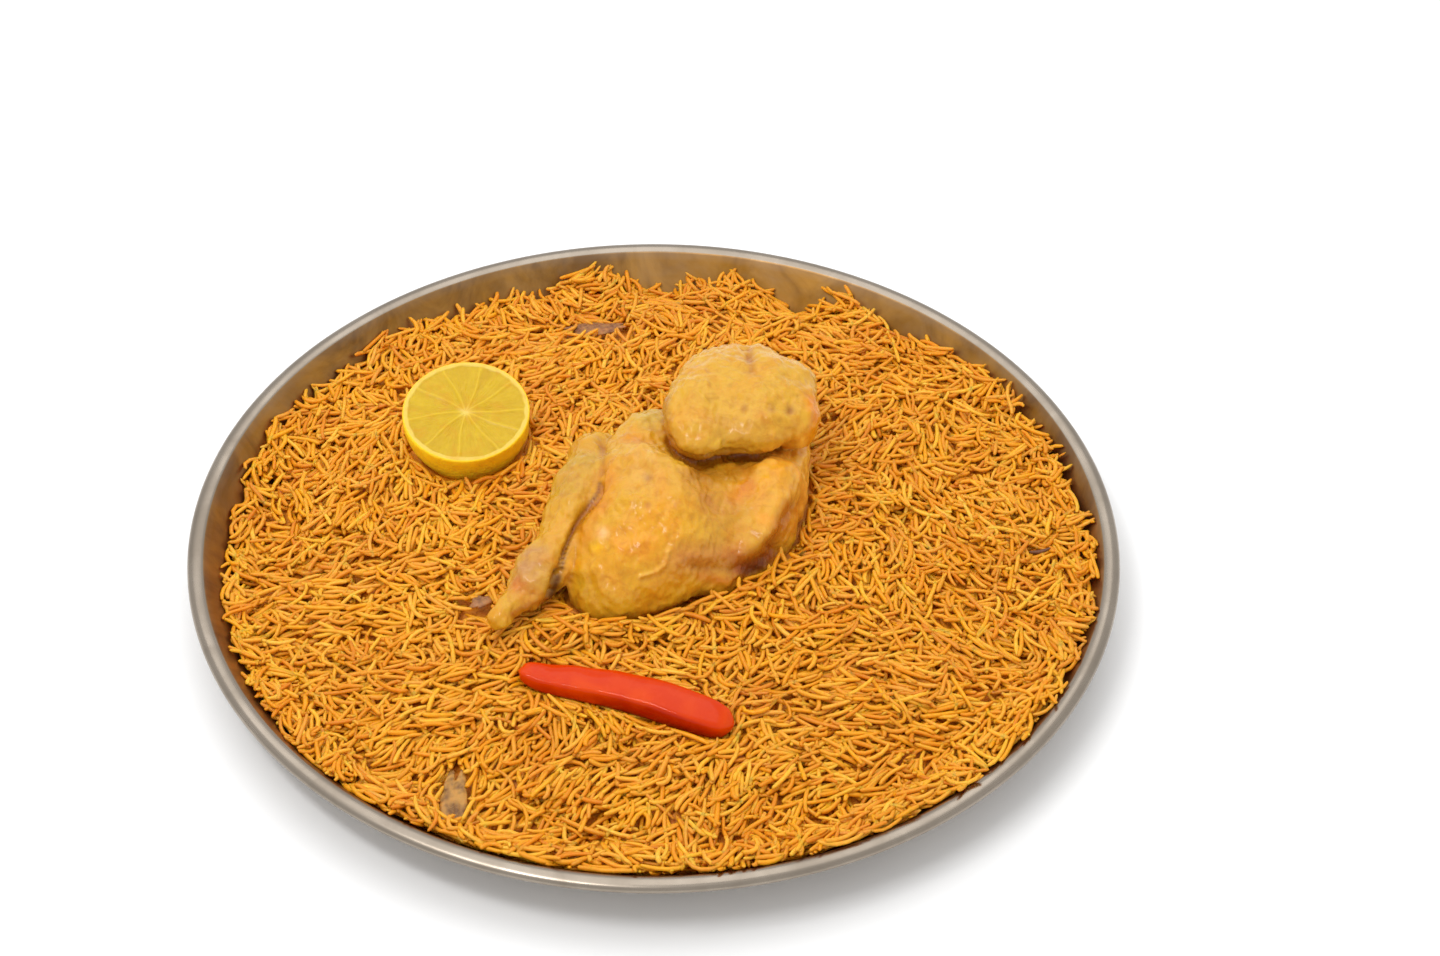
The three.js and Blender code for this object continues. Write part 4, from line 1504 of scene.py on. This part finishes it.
# Where along itself a grain can be held up, and the pairs of such points on either side of its middle
restShares = np.linspace(-0.92, 0.92, 9)
restFit = np.linalg.pinv(np.column_stack([np.ones(9), restShares, restShares**2]))
firstRests, lastRests = [pair.ravel() for pair in np.meshgrid(np.arange(5), np.arange(4, 9), indexing="ij")]
firstRests, lastRests = firstRests[firstRests < lastRests], lastRests[firstRests < lastRests]

oneGrain = modelGrain()
grains = layGrains()
riceSkin = riceLook()
for number, name in enumerate(grainKinds):
    joinGrains(name, grains, grains["kind"] == number, riceSkin, 140 + number)
print("rice made")


# Spice and herb among the grains: a dark seed, and flakes of leaf at the chicken's side, dark olive, partly
# standing for painted shade in the gap there

# Each has a place, a length, a width and a direction in degrees
spiceChoices = {
    "seeds": [((166, -5.7), 9.5, 1.9, 8)],
    "flakes": [((61, -19.5), 7.0, 3.6, -30)],
    "seedThickness": 1.7,
    "flakeThickness": 0.9,
    "seedTone": tone(92, 52, 22),
    # dark olive for the flake: partly leaf colour, partly painted shade
    "flakeShadeTone": tone(112, 80, 14),
}


def spiceLook(name, colour):
    look, tree = newLook(name)
    ridges = noiseOn(tree, objectPlaces(tree), 900.0, 3.0, 0.6)
    return finishLook(look, {
        "Base Color": stain(tree, ridges, 0.35, 0.7, 0.6, rgba(colour), colour * 1.9),
        "Roughness": 0.45,
        "Normal": bumpOn(tree, ridges, 0.4, 0.0003),
    })


def lieOn(piece, spot, length, width, degrees, thickness):
    shape = readPlaces(piece)
    turn = math.radians(degrees)
    along, across = shape[:, 0] * length / 2, shape[:, 1] * width / 2
    x = spot[0] + along * math.cos(turn) - across * math.sin(turn)
    y = spot[1] + along * math.sin(turn) + across * math.cos(turn)
    reach = restShares * length / 2
    line = np.column_stack([spot[0] + reach * math.cos(turn), spot[1] + reach * math.sin(turn)])
    base, slope, sag = restOn(heightMap[mapCells(line)], 0.6)
    rise = base + slope * shape[:, 0] + sag * shape[:, 0] ** 2 + thickness / 2 - 0.3
    writePlaces(piece, np.column_stack([x, y, rise + shape[:, 2] * thickness / 2]))


def makeSpice(name, pieces, thickness, look, flat):
    made = []
    for spot, length, width, degrees in pieces:
        bit = addSphere(16, 20)
        layAlongX(bit)
        shape = readPlaces(bit)
        if flat:
            shape[:, 1] *= 1 + 0.3 * ripple(shape[:, :1] * 5, 4, 200 + len(made))  # a torn edge
            shape[:, 2] += 1.2 * shape[:, 1] ** 2 - 0.6
        else:
            around = np.arctan2(shape[:, 2], shape[:, 1])
            shape[:, 1:] *= (1 + 0.1 * np.cos(6 * around))[:, None]  # a seed's ribs
        writePlaces(bit, shape)
        lieOn(bit, spot, length, width, degrees, thickness)
        faceOutwards(bit)
        made.append(bit)
    pick(*made)
    if len(made) > 1:
        bpy.ops.object.join()
    spice = bpy.context.object
    spice.name = name
    smoothShade(spice)
    spice.data.materials.append(look)
    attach(spice, "root")


seedLook = spiceLook("darkSeed", spiceChoices["seedTone"])
leafLook = spiceLook("herbLeaf", spiceChoices["flakeShadeTone"])
makeSpice("spiceSeeds", spiceChoices["seeds"], spiceChoices["seedThickness"], seedLook, False)
makeSpice("herbFlakes", spiceChoices["flakes"], spiceChoices["flakeThickness"], leafLook, True)
print("spice made")
